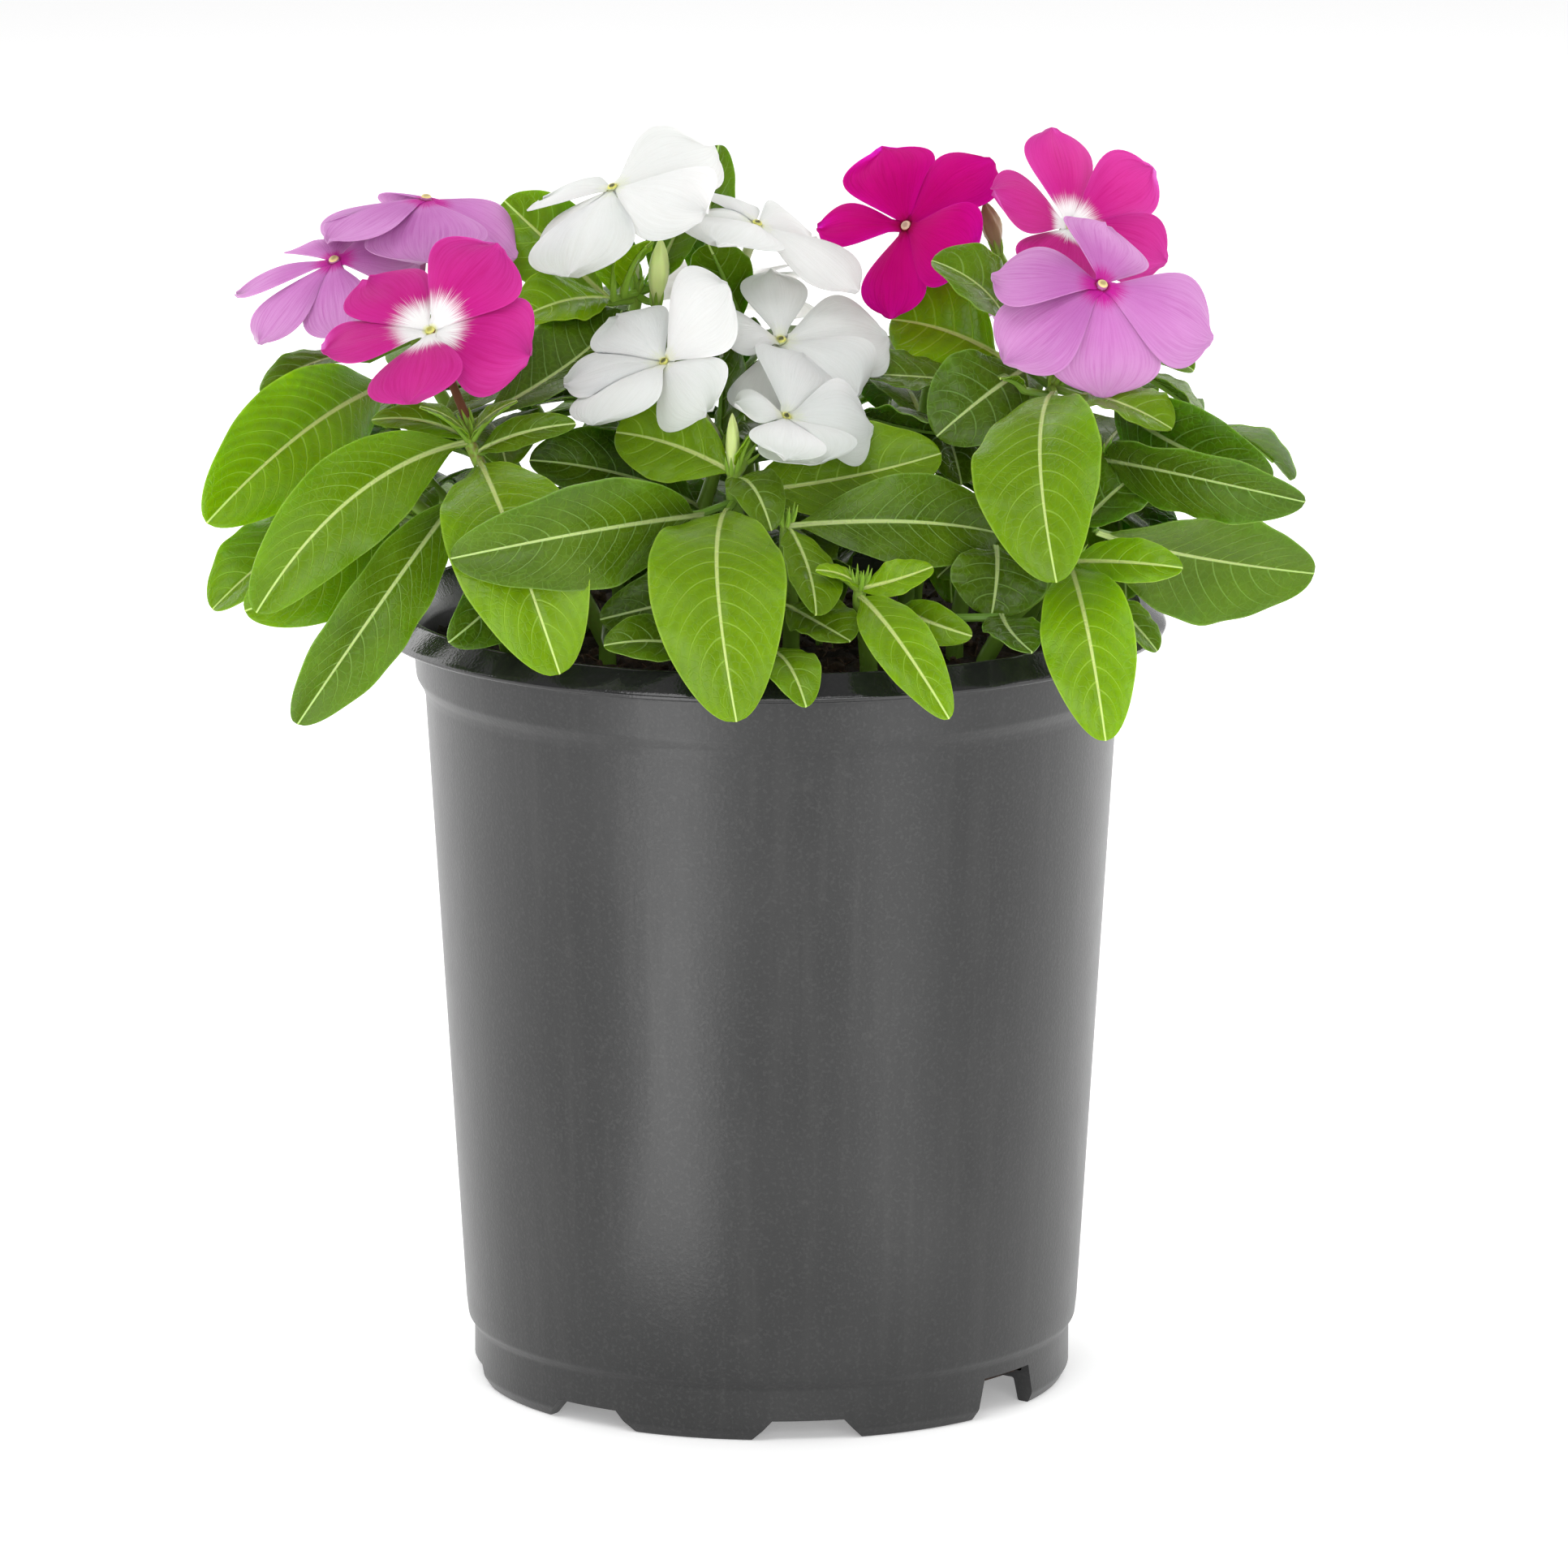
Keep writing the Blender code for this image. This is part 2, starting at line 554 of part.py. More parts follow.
def sheet_faces(rows):
    """Triangles that join rows of three points, and the last row's single point."""
    faces = []
    for row in range(len(rows) - 2):
        for column in range(2):
            a = 3 * row + column
            faces.append((a, a + 1, a + 4))
            faces.append((a, a + 4, a + 3))
    last = 3 * (len(rows) - 2)
    for column in range(2):
        faces.append((last + column, last + column + 1, last + 3))
    return faces


def sheet_points(rows, offset=0.0):
    return [point + normal * offset for row in rows for point, normal in row]


def sheet_tree(rows):
    """The sheet as a search tree."""
    return BVHTree.FromPolygons(sheet_points(rows), sheet_faces(rows))


def padded_tree(rows, pad=CLEAR):
    """The sheet thickened by pad on each face, to test that it keeps clear of its neighbours."""
    faces = sheet_faces(rows)
    verts = sheet_points(rows, pad) + sheet_points(rows, -pad)
    count = len(verts) // 2
    last = count - 1
    both = faces + [(c + count, b + count, a + count) for a, b, c in faces]
    rim = list(range(0, count - 1, 3)) + [last] + list(range(count - 2, 0, -3)) + [1]
    for a, b in zip(rim, rim[1:] + rim[:1]):
        both.append((a, b, b + count, a + count))
    return BVHTree.FromPolygons(verts, both)


class Placed:
    """What is in place so far, so that each later leaf and petal is bent clear of it."""

    def __init__(self):
        self.items = []

    def add(self, owner, tree, outer=None):
        self.items.append((owner, tree, outer))

    def free(self, owner, tree, outer):
        """Whether the padded shape touches nothing. Among one stem's leaves only their outer parts count."""
        for other, full, far in self.items:
            if other == owner:
                if outer is not None and far is not None and outer.overlap(far):
                    return False
            elif tree.overlap(full):
                return False
        return True


def view_axis():
    return vec(0, cos(radians(VIEW_DOWN)), -sin(radians(VIEW_DOWN)))


def blade_trees(blade):
    return padded_tree(leaf_grid(blade, 1.0)), padded_tree(leaf_grid(blade, 0.8, 1))


def bent_blades(blade):
    """The blade, then the same blade bent more and more: nearer or farther, rolled, arched and shorter."""
    tries = []
    for depth in (0, -4, 4, -8, 8, -13, 13, -18, 18, -24, 24):
        for roll in (0, -14, 14, -28, 28):
            for arch in (0, -0.07, 0.07):
                for shorter in (0, 0.12, 0.25):
                    cost = abs(depth) / 4 + abs(roll) / 12 + abs(arch) / 0.06 + shorter / 0.05
                    tries.append((cost, depth, roll, arch, shorter))
    for _, depth, roll, arch, shorter in sorted(tries):
        bent = dict(blade)
        bent["tip"] = blade["tip"].lerp(blade["base"], shorter) + view_axis() * depth
        bent["roll"] = blade["roll"] + roll
        bent["arch"] = blade["arch"] + arch
        yield bent


def ruled_blades(axis, rule, turned):
    """A leaf by rule at a share of the stem, then the same leaf swung, dropped and shortened ever more."""
    foot = along(axis, rule["share"])
    tries = []
    for swing in (0, 12, -12, 24, -24, 38, -38, 55, -55):
        for drop in (0, 14, -14, 28, -28, 42):
            for roll in (0, 25, -25):
                for shorter in (1.0, 0.8, 0.62):
                    cost = abs(swing) / 12 + abs(drop) / 14 + abs(roll) / 20 + (1 - shorter) / 0.1
                    tries.append((cost, swing, drop, roll, shorter))
    for _, swing, drop, roll, shorter in sorted(tries):
        azimuth = radians(rule["azimuth"] + turned + swing)
        fall = radians(rule["drop"] + drop)
        reach = vec(cos(azimuth) * cos(fall), sin(azimuth) * cos(fall), -sin(fall))
        length = rule["length"] * shorter
        root = foot - reach * ROOT_DEPTH
        yield {
            "foot": root, "base": root, "tip": foot + reach * (length + 3), "width": RULE_LEAF_WIDTH * length,
            "roll": roll, "arch": RULE_LEAF_ARCH, "bow": 0.0, "phase": rule["azimuth"] + turned,
            "small": True,
        }


def settle_blade(owner, choices, placed, keep):
    """The first choice that is free, or with keep the first one of all, put in place."""
    first = None
    for blade in choices:
        first = first or blade
        full, outer = blade_trees(blade)
        if placed.free(owner, full, outer):
            placed.add(owner, sheet_tree(leaf_grid(blade)), sheet_tree(leaf_grid(blade, 0.0, 1)))
            return blade
    if keep:
        placed.add(owner, sheet_tree(leaf_grid(first)), sheet_tree(leaf_grid(first, 0.0, 1)))
        print("not clear:", owner, [round(c) for c in first["tip"]])
        return first
    return None


def settle_petals(name, flower, placed):
    """Lifts or lowers each petal until it is clear of the stems and the other blooms."""
    lifts = list(flower["lifts"])
    flower["lifts"] = lifts
    for number in range(5):
        start = lifts[number]
        for change in (0, 6, -6, 12, -12, 18, -18, 24, -24, 32, -32, 40, -40):
            lifts[number] = start + change
            if placed.free(name, padded_tree(petal_grid(flower, number, 0.8)), None):
                break
        else:
            lifts[number] = start
            print("not clear:", name, "petal", number)
    for number in range(5):
        placed.add(name, sheet_tree(petal_grid(flower, number)))


def flower_tube(flower):
    """Centre points and radii of the bloom's slender tube, from its calyx to the eye."""
    azimuth = radians(flower["azimuth"])
    rise = radians(flower["rise"])
    face = vec(sin(azimuth) * cos(rise), -cos(azimuth) * cos(rise), sin(rise))
    eye = flower["eye"]
    calyx = flower["calyx"]
    bend = eye - face * 0.55 * (eye - calyx).length
    start = calyx + (bend - calyx).normalized() * CALYX_GAP
    points = [start * (1 - t) ** 2 + bend * 2 * t * (1 - t) + eye * t * t for t in (0.0, 0.3, 0.65, 0.93)]
    points.append(eye + face * 0.5)
    return points, [TUBE_RADIUS, TUBE_RADIUS * 0.9, TUBE_RADIUS, TUBE_RADIUS * 1.25, THROAT_RADIUS]


def calyx_branch(shoot, flower):
    """Centre points and radii of the short branch that carries a bloom, from inside the stem to its calyx."""
    axis = stem_axis(shoot)
    calyx = flower["calyx"]
    tube, _ = flower_tube(flower)
    into = (tube[0] - calyx).normalized()
    foot = nearest(axis, calyx - into * 3)
    return [foot, foot.lerp(calyx - into * 2.4, 0.6), calyx - into * 1.8, calyx], [1.0, 1.0, 1.5, 1.15]


def stem_radii(count):
    return [STEM_RADIUS - STEM_TAPER * index / (count - 1) for index in range(count)]


def lip_tree():
    """The pot's lip and the soil as plain rings, for leaves to keep clear of."""
    rings = [(0.0, SOIL_Z + 1), (MOUTH_RADIUS - 1, SOIL_Z + 1), (MOUTH_RADIUS - 0.6, POT_HEIGHT + 0.3),
             (MOUTH_RADIUS + 1.5, POT_HEIGHT + 0.3), (LIP_RADIUS + 0.3, LIP_EDGE_Z),
             (BAND_RADIUS, BAND_TOP_Z), (STEP_RADIUS, STEP_Z), (STEP_RADIUS - 3, STEP_Z - 40)]
    turns = 48
    verts = [vec(radius * cos(2 * pi * turn / turns), radius * sin(2 * pi * turn / turns), z)
             for radius, z in rings for turn in range(turns)]
    faces = [(ring * turns + turn, ring * turns + (turn + 1) % turns,
              (ring + 1) * turns + (turn + 1) % turns, (ring + 1) * turns + turn)
             for ring in range(len(rings) - 1) for turn in range(turns)]
    return BVHTree.FromPolygons(verts, faces)


def settled_plant():
    """(leaves of each shoot, blooms) with every leaf and petal bent clear of what was placed before it."""
    placed = Placed()
    placed.add("pot", lip_tree())
    for name, shoot in SHOOTS.items():
        axis = stem_axis(shoot)
        verts, faces = tube_mesh(axis[1:], stem_radii(len(axis))[1:])
        placed.add(name, BVHTree.FromPolygons(verts, faces))
        for start, end, radius in shoot.get("buds", ()):
            verts, faces = bud_mesh(vec(*start), vec(*end), radius)
            placed.add(name, BVHTree.FromPolygons(verts, faces))
        for bloom_name in shoot["blooms"]:
            verts, faces = tube_mesh(*calyx_branch(shoot, BLOOMS[bloom_name]))
            placed.add(name, BVHTree.FromPolygons(verts, faces))
    for name, flower in BLOOMS.items():
        verts, faces = tube_mesh(*flower_tube(flower))
        placed.add(name, BVHTree.FromPolygons(verts, faces))
    for name, flower in BLOOMS.items():
        settle_petals(name, flower, placed)
    leaves = {name: [] for name in SHOOTS}
    phase = 0.0
    for name, shoot in SHOOTS.items():
        axis = stem_axis(shoot)
        for blade in shoot["leaves"]:
            blade["foot"] = nearest(axis, blade["base"])
            if (blade["foot"] - blade["base"]).length < SHORT_PETIOLE:
                blade["foot"] -= (blade["tip"] - blade["foot"]).normalized() * ROOT_DEPTH
                blade["base"] = blade["foot"]
            phase += 2.4
            blade["phase"] = phase
            blade["small"] = (blade["tip"] - blade["base"]).length < SMALL_LEAF
            leaves[name].append(settle_blade(name, bent_blades(blade), placed, keep=True))
    for name, shoot in SHOOTS.items():
        axis = stem_axis(shoot)
        for rule in shoot["pairs"]:
            for turned in (0, 180):
                blade = settle_blade(name, ruled_blades(axis, rule, turned), placed, keep=False)
                if blade:
                    leaves[name].append(blade)
    return leaves


def bud_mesh(start, end, radius):
    """A pointed flower bud, widest above its middle."""
    stations = (0.0, 0.15, 0.3, 0.55, 0.8, 0.95, 1.0)
    shares = (0.45, 0.5, 0.85, 1.0, 0.7, 0.35, 0.12)
    return tube_mesh([start.lerp(end, t) for t in stations], [radius * share for share in shares])


def new_object(name, verts, faces, material, collection):
    """A mesh object from points in millimetres."""
    mesh = bpy.data.meshes.new(name)
    mesh.from_pydata([point * MM for point in verts], [], faces)
    mesh.materials.append(material)
    made = bpy.data.objects.new(name, mesh)
    collection.objects.link(made)
    return made


def sheet_object(name, rows, thickness, material, collection):
    """A leaf or petal: an open sheet with its thickness added evenly on both faces."""
    made = new_object(name, sheet_points(rows), sheet_faces(rows), material, collection)
    solid = made.modifiers.new("thickness", "SOLIDIFY")
    solid.thickness = thickness * MM
    solid.offset = 0.0
    return made


def apply_modifiers(made):
    """Keeps the object's evaluated mesh as its own."""
    graph = bpy.context.evaluated_depsgraph_get()
    mesh = bpy.data.meshes.new_from_object(made.evaluated_get(graph))
    made.modifiers.clear()
    made.data = mesh


def keep_largest(made):
    """Drops loose scraps and sealed hollows that a union leaves, and keeps the one outer surface."""
    shape = bmesh.new()
    shape.from_mesh(made.data)
    islands = []
    waiting = set(shape.verts)
    while waiting:
        island = {waiting.pop()}
        front = list(island)
        while front:
            corner = front.pop()
            for edge in corner.link_edges:
                other = edge.other_vert(corner)
                if other in waiting:
                    waiting.discard(other)
                    island.add(other)
                    front.append(other)
        islands.append(island)
    islands.sort(key=len)
    for island in islands[:-1]:
        bmesh.ops.delete(shape, geom=list(island), context="VERTS")
    shape.to_mesh(made.data)
    shape.free()


def joined(core, parts):
    """The core and its parts as one closed solid."""
    union = core.modifiers.new("join", "BOOLEAN")
    union.operation = "UNION"
    union.operand_type = "COLLECTION"
    union.collection = parts
    union.solver = "MANIFOLD"
    apply_modifiers(core)
    for part in list(parts.objects):
        bpy.data.objects.remove(part)
    keep_largest(core)
    return core


def make_material(name):
    colour, roughness = COLOURS[name]
    material = bpy.data.materials.new(name)
    material.use_nodes = True
    shader = material.node_tree.nodes["Principled BSDF"]
    shader.inputs["Base Color"].default_value = (*colour, 1.0)
    shader.inputs["Roughness"].default_value = roughness
    shader.inputs["Metallic"].default_value = 0.0
    return material


def wall_radius(z):
    """The pot's outer radius at a height on its straight taper."""
    return BASE_RADIUS + (STEP_RADIUS - 0.2 - BASE_RADIUS) * (z - BASE_Z) / (STEP_Z - 1 - BASE_Z)


def pot_profile():
    """(radius, height) round the pot's wall: the floor, up the inside, over the lip and down the outside."""
    inside = [(0, FLOOR_TOP_Z), (60.5, FLOOR_TOP_Z), (wall_radius(BASE_Z) - WALL, BASE_Z),
              (STEP_RADIUS - 0.2 - WALL, STEP_Z - 1), (BAND_RADIUS - WALL, BAND_TOP_Z),
              (MOUTH_RADIUS, POT_HEIGHT)]
    lip = [(MOUTH_RADIUS + 1.0, POT_HEIGHT), (LIP_RADIUS - 0.5, LIP_EDGE_Z + 0.7), (LIP_RADIUS, LIP_EDGE_Z),
           (LIP_RADIUS - 0.4, LIP_EDGE_Z - 0.8), (BAND_RADIUS + 0.6, BAND_TOP_Z + 0.8)]
    outside = [(BAND_RADIUS, BAND_TOP_Z), (BAND_RADIUS - 0.7, STEP_Z + 3), (STEP_RADIUS + 0.3, STEP_Z + 0.6),
               (STEP_RADIUS - 0.2, STEP_Z - 1), (BASE_RADIUS, BASE_Z), (BASE_RADIUS - 0.4, 13.0),
               (FOOT_RADIUS, 11.2), (FOOT_RADIUS, 2.4), (FOOT_RADIUS - 1.4, 0)]
    foot = [(FOOT_INNER_RADIUS, 0), (FOOT_INNER_RADIUS - 0.4, FLOOR_Z), (0, FLOOR_Z)]
    return inside + lip + outside + foot


def notch_size(number):
    """(width at the ground, width at its top, height) of one of the foot's drain notches."""
    if number in DEEP_NOTCHES:
        return DEEP_NOTCH_WIDTH, DEEP_NOTCH_TOP_WIDTH, DEEP_NOTCH_HEIGHT
    return NOTCH_WIDTH, NOTCH_TOP_WIDTH, NOTCH_HEIGHT


def make_notch_cutters(cutters):
    """Flared blocks that cut the drain notches through the foot ring, and the floor's round drain holes."""
    depth = 12.0
    for number in range(NOTCHES):
        angle = radians(NOTCH_TURN + 360 * number / NOTCHES)
        low_width, top_width, height = notch_size(number)
        bpy.ops.mesh.primitive_cube_add(size=1)
        block = bpy.context.object
        block.name = f"notch_cutter_{number + 1}"
        for corner in block.data.vertices:
            top = corner.co.z > 0
            corner.co.x *= (top_width if top else low_width) * MM
            corner.co.y *= depth * MM
            corner.co.z = (height if top else -1.0) * MM
        middle = (FOOT_RADIUS + FOOT_INNER_RADIUS) / 2 * MM
        block.location = (middle * sin(angle), -middle * cos(angle), 0)
        block.rotation_euler = (0, 0, angle)
        move_to(block, cutters)
    for number in range(DRAIN_HOLES):
        angle = 2 * pi * (number + 0.5) / DRAIN_HOLES
        height = 6.0
        bpy.ops.mesh.primitive_cylinder_add(vertices=12, radius=DRAIN_RADIUS * MM, depth=height * MM)
        drill = bpy.context.object
        drill.name = f"drain_cutter_{number + 1}"
        middle = (FLOOR_Z + FLOOR_TOP_Z) / 2 * MM
        drill.location = (DRAIN_CIRCLE * MM * cos(angle), DRAIN_CIRCLE * MM * sin(angle), middle)
        move_to(drill, cutters)


def move_to(made, collection):
    """Puts a helper in its collection and out of the render."""
    for holder in list(made.users_collection):
        holder.objects.unlink(made)
    collection.objects.link(made)
    made.hide_render = True
    made.display_type = "WIRE"


def cut(made, cutters, name):
    difference = made.modifiers.new(name, "BOOLEAN")
    difference.operation = "DIFFERENCE"
    difference.operand_type = "COLLECTION"
    difference.collection = cutters
    difference.solver = "EXACT"


def make_pot(materials, parts, cutters):
    """The pot: a turned wall with a flared lip, a band above a small step, and a notched foot ring."""
    profile = pot_profile()
    edges = [(index, index + 1) for index in range(len(profile) - 1)]
    mesh = bpy.data.meshes.new("pot")
    mesh.from_pydata([(radius * MM, 0, z * MM) for radius, z in profile], edges, [])
    mesh.materials.append(materials["pot"])
    pot = bpy.data.objects.new("pot", mesh)
    parts.objects.link(pot)
    screw = pot.modifiers.new("turn", "SCREW")
    screw.steps = POT_SEGMENTS
    screw.render_steps = POT_SEGMENTS
    screw.use_merge_vertices = True
    screw.merge_threshold = 0.00005
    screw.use_smooth_shade = True
    make_notch_cutters(cutters)
    cut(pot, cutters, "notches and drain holes")
    return pot


def soil_height(x, y):
    """The potting mix's uneven surface, from a few crossing waves."""
    waves = sin(0.31 * x + 1.2) * cos(0.27 * y - 0.5)
    waves += 0.7 * sin(0.63 * x - 0.4 * y) + 0.5 * cos(0.9 * y + 0.35 * x)
    return SOIL_Z + SOIL_WAVE * waves


def soil_rings():
    """(radius, height) of the soil's rings, from the middle of its underside to the middle of its top."""
    low = FLOOR_TOP_Z + SOIL_GAP
    side = [(SOIL_FOOT_RADIUS, low), (wall_radius(BASE_Z) - WALL - SOIL_GAP, BASE_Z),
            (STEP_RADIUS - SOIL_STEP_INSET - WALL - SOIL_GAP, STEP_Z - 1),
            (BAND_RADIUS - SOIL_BAND_INSET - WALL - SOIL_GAP, SOIL_Z - 4)]
    edge = BAND_RADIUS - SOIL_TOP_INSET - WALL - SOIL_GAP
    top = [(edge * (1 - ring / SOIL_RINGS), None) for ring in range(SOIL_RINGS)]
    return side, top


def make_soil(materials, parts, holes):
    """The potting mix: a plug that fills the pot, uneven on top, with a plain hole for each leafy stem."""
    side, top = soil_rings()
    verts = [vec(0, 0, side[0][1])]
    for radius, z in side + top:
        for turn in range(SOIL_SEGMENTS):
            angle = 2 * pi * turn / SOIL_SEGMENTS
            x = radius * cos(angle)
            y = radius * sin(angle)
            verts.append(vec(x, y, soil_height(x, y) if z is None else z))
    verts.append(vec(0, 0, soil_height(0, 0)))
    faces = []
    rings = len(side) + len(top)
    for turn in range(SOIL_SEGMENTS):
        ahead = (turn + 1) % SOIL_SEGMENTS
        faces.append((0, 1 + ahead, 1 + turn))
        for ring in range(rings - 1):
            low = 1 + ring * SOIL_SEGMENTS
            high = low + SOIL_SEGMENTS
            faces.append((low + turn, low + ahead, high + ahead))
            faces.append((low + turn, high + ahead, high + turn))
        last = 1 + (rings - 1) * SOIL_SEGMENTS
        faces.append((last + turn, last + ahead, len(verts) - 1))
    soil = new_object("soil", verts, faces, materials["soil"], parts)
    for name, shoot in SHOOTS.items():
        x, y = shoot["path"][0]
        height = HOLE_DEPTH + 8
        radius = STEM_RADIUS / cos(pi / HOLE_SIDES) + HOLE_GAP
        bpy.ops.mesh.primitive_cylinder_add(vertices=HOLE_SIDES, radius=radius * MM, depth=height * MM)
        drill = bpy.context.object
        drill.name = f"{name}_hole_cutter"
        drill.location = (x * MM, y * MM, (SOIL_Z - HOLE_DEPTH + height / 2) * MM)
        move_to(drill, holes)
    cut(soil, holes, "stem holes")
    return soil


def make_shoot(name, shoot, blades, materials, parts, scratch):
    """A leafy stem with its leaves, buds and calyxes as one solid."""
    axis = stem_axis(shoot)
    core = new_object(name, *tube_mesh(axis, stem_radii(len(axis))), materials["leaf"], parts)
    for index, blade in enumerate(blades):
        sheet_object(f"{name}_leaf_{index + 1}", leaf_grid(blade), LEAF_THICKNESS, materials["leaf"], scratch)
    for start, end, radius in shoot.get("buds", ()):
        foot = nearest(axis, vec(*start))
        new_object(f"{name}_bud", *bud_mesh(vec(*start), vec(*end), radius), materials["leaf"], scratch)
        if (foot - vec(*start)).length > 0.8:
            stalk = [foot, foot.lerp(vec(*start), 0.5), vec(*start).lerp(vec(*end), 0.1)]
            new_object(f"{name}_bud_stalk", *tube_mesh(stalk, [0.9, 0.9, 0.8]), materials["leaf"], scratch)
    for bloom_name in shoot["blooms"]:
        branch = tube_mesh(*calyx_branch(shoot, BLOOMS[bloom_name]))
        new_object(f"{bloom_name}_calyx", *branch, materials["leaf"], scratch)
    return joined(core, scratch)


def make_bloom(name, flower, materials, parts, scratch):
    """A bloom: its tube with a flared throat, and five petals round it."""
    material = materials[flower["colour"]]
    core = new_object(name, *tube_mesh(*flower_tube(flower)), material, parts)
    for number in range(5):
        rows = petal_grid(flower, number)
        sheet_object(f"{name}_petal_{number + 1}", rows, PETAL_THICKNESS, material, scratch)
    return joined(core, scratch)


def main():
    for old in list(bpy.data.objects):
        bpy.data.objects.remove(old)
    scene = bpy.context.scene
    collections = {}
    for name in ("potted_madagascar_periwinkle", "pot_cutters", "soil_cutters", "joining"):
        collections[name] = bpy.data.collections.new(name)
        scene.collection.children.link(collections[name])
    parts = collections["potted_madagascar_periwinkle"]
    materials = {name: make_material(name) for name in COLOURS}
    leaves = settled_plant()
    make_pot(materials, parts, collections["pot_cutters"])
    make_soil(materials, parts, collections["soil_cutters"])
    for name, shoot in SHOOTS.items():
        made = make_shoot(name, shoot, leaves[name], materials, parts, collections["joining"])
        print(name, len(leaves[name]), "leaves", len(made.data.polygons), "faces")
    for name, flower in BLOOMS.items():
        made = make_bloom(name, flower, materials, parts, collections["joining"])
        print(name, len(made.data.polygons), "faces")
    bpy.data.collections.remove(collections["joining"])


main()
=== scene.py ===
"""Looks of the potted Madagascar periwinkle: fine leaves, petals, stems, soil and pot round the solids.

The plant's layout and the rule that bends leaves and petals clear of each other are the ones that shaped
the solids, so that every fine leaf and petal lies where its solid does. Sizes are in millimetres until a
mesh is made.
"""

import json
from functools import lru_cache
from itertools import product
from math import cos, pi, radians, sin

import bpy
import numpy as np
from mathutils import Matrix, Vector
from mathutils.bvhtree import BVHTree

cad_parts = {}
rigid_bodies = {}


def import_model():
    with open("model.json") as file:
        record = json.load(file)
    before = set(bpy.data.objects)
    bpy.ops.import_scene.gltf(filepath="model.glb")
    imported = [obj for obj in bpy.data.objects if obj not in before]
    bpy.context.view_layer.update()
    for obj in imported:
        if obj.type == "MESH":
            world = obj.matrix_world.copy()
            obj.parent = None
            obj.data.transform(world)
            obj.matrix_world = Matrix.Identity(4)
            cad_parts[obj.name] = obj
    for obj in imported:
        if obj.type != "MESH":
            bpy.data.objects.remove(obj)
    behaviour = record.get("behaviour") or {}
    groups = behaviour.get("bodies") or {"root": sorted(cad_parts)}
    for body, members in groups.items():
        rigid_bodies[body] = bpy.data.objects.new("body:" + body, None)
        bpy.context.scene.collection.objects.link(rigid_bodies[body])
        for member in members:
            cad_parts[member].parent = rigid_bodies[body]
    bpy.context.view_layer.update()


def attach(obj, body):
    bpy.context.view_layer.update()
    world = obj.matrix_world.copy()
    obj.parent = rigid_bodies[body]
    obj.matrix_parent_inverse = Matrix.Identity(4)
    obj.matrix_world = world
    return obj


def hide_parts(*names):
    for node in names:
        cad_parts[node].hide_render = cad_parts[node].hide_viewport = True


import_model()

MM = 0.001

# Pot, in millimetres
POT_HEIGHT = 165.0
LIP_RADIUS = 82.5
LIP_EDGE_Z = 160.6
MOUTH_RADIUS = 77.0
BAND_RADIUS = 74.9
BAND_TOP_Z = 158.0
STEP_RADIUS = 72.5
STEP_Z = 147.0
BASE_RADIUS = 64.3
BASE_Z = 16.5
FOOT_RADIUS = 62.6
FOOT_INNER_RADIUS = 58.6
FLOOR_Z = 5.2
FLOOR_TOP_Z = 7.0
WALL = 1.6
NOTCHES = 8
NOTCH_TURN = 7.0
NOTCH_WIDTH = 25.0
NOTCH_TOP_WIDTH = 15.0
NOTCH_HEIGHT = 4.4
DEEP_NOTCHES = (1, 5)
DEEP_NOTCH_HEIGHT = 8.8
DEEP_NOTCH_WIDTH = 20.0
DEEP_NOTCH_TOP_WIDTH = 15.0
DRAIN_HOLES = 4
DRAIN_RADIUS = 5.0
DRAIN_CIRCLE = 36.0

# Potting mix and the holes for its stems, in millimetres
SOIL_GAP = 0.3
SOIL_FOOT_RADIUS = 59.8
SOIL_STEP_INSET = 0.4
SOIL_BAND_INSET = 1.5
SOIL_TOP_INSET = 2.2
SOIL_Z = 155.5
SOIL_WAVE = 0.8
HOLE_DEPTH = 11.0
HOLE_GAP = 0.45

# Leaves and stems, in millimetres, degrees and shares of a blade's length or width
STEM_RADIUS = 1.9
STEM_TAPER = 0.6
STEM_SIDES = 5
LEAF_FOLD = 14.0
LEAF_STATIONS = (0.0, 0.22, 0.54, 0.86, 1.0)
SMALL_LEAF = 25.0
SHORT_PETIOLE = 5.0
ROOT_DEPTH = 0.6
SMALL_LEAF_STATIONS = (0.0, 0.35, 0.78, 1.0)
PETIOLE_WIDTH = 1.8
PETIOLE_SHARE = 0.06
LEAF_FULLEST = 1.08
LEAF_BASE_TAPER = 0.84
LEAF_TIP_TAPER = 0.52
WAVE = 0.05
WAVES_ALONG = 1.6
RULE_LEAF_WIDTH = 0.52
RULE_LEAF_ARCH = 0.16

# Blooms, in millimetres, degrees and shares of a petal's length or width
PETAL_STATIONS = (0.0, 0.4, 0.72, 0.93, 1.0)
PETAL_TILT = 10.0
PETAL_SHARE = 1.05
PETAL_FULLEST = 1.95
PETAL_BLUNTNESS = 0.55
PETAL_SLANT = -0.05
PETAL_CUP = 1.6
PETAL_SINK = 0.4
PETAL_SWEEP = 0.06
PETAL_ROOT = 0.2
CLAW_HALF_WIDTH = 1.5
TUBE_RADIUS = 1.0
THROAT_RADIUS = 2.3
CALYX_GAP = 0.35

# How far leaves and petals keep clear of their neighbours, in millimetres
CLEAR = 1.0

# How far down the camera looks, in degrees. A leaf that moves along this view keeps its place in the
# picture.
VIEW_DOWN = 11.92


def vec(x, y, z):
    return Vector((x, y, z))


def leaf(base, tip, width, roll=0.0, arch=0.12, bow=0.0):
    """A leaf from base to tip: roll turns it about its length, arch lifts its middle, bow bends it."""
    return {"base": vec(*base), "tip": vec(*tip), "width": width, "roll": roll, "arch": arch, "bow": bow}


def pair(share, length, azimuth, drop=10.0):
    """Two opposite leaves at a share of the stem's length, placed by rule."""
    return {"share": share, "length": length, "azimuth": azimuth, "drop": drop}


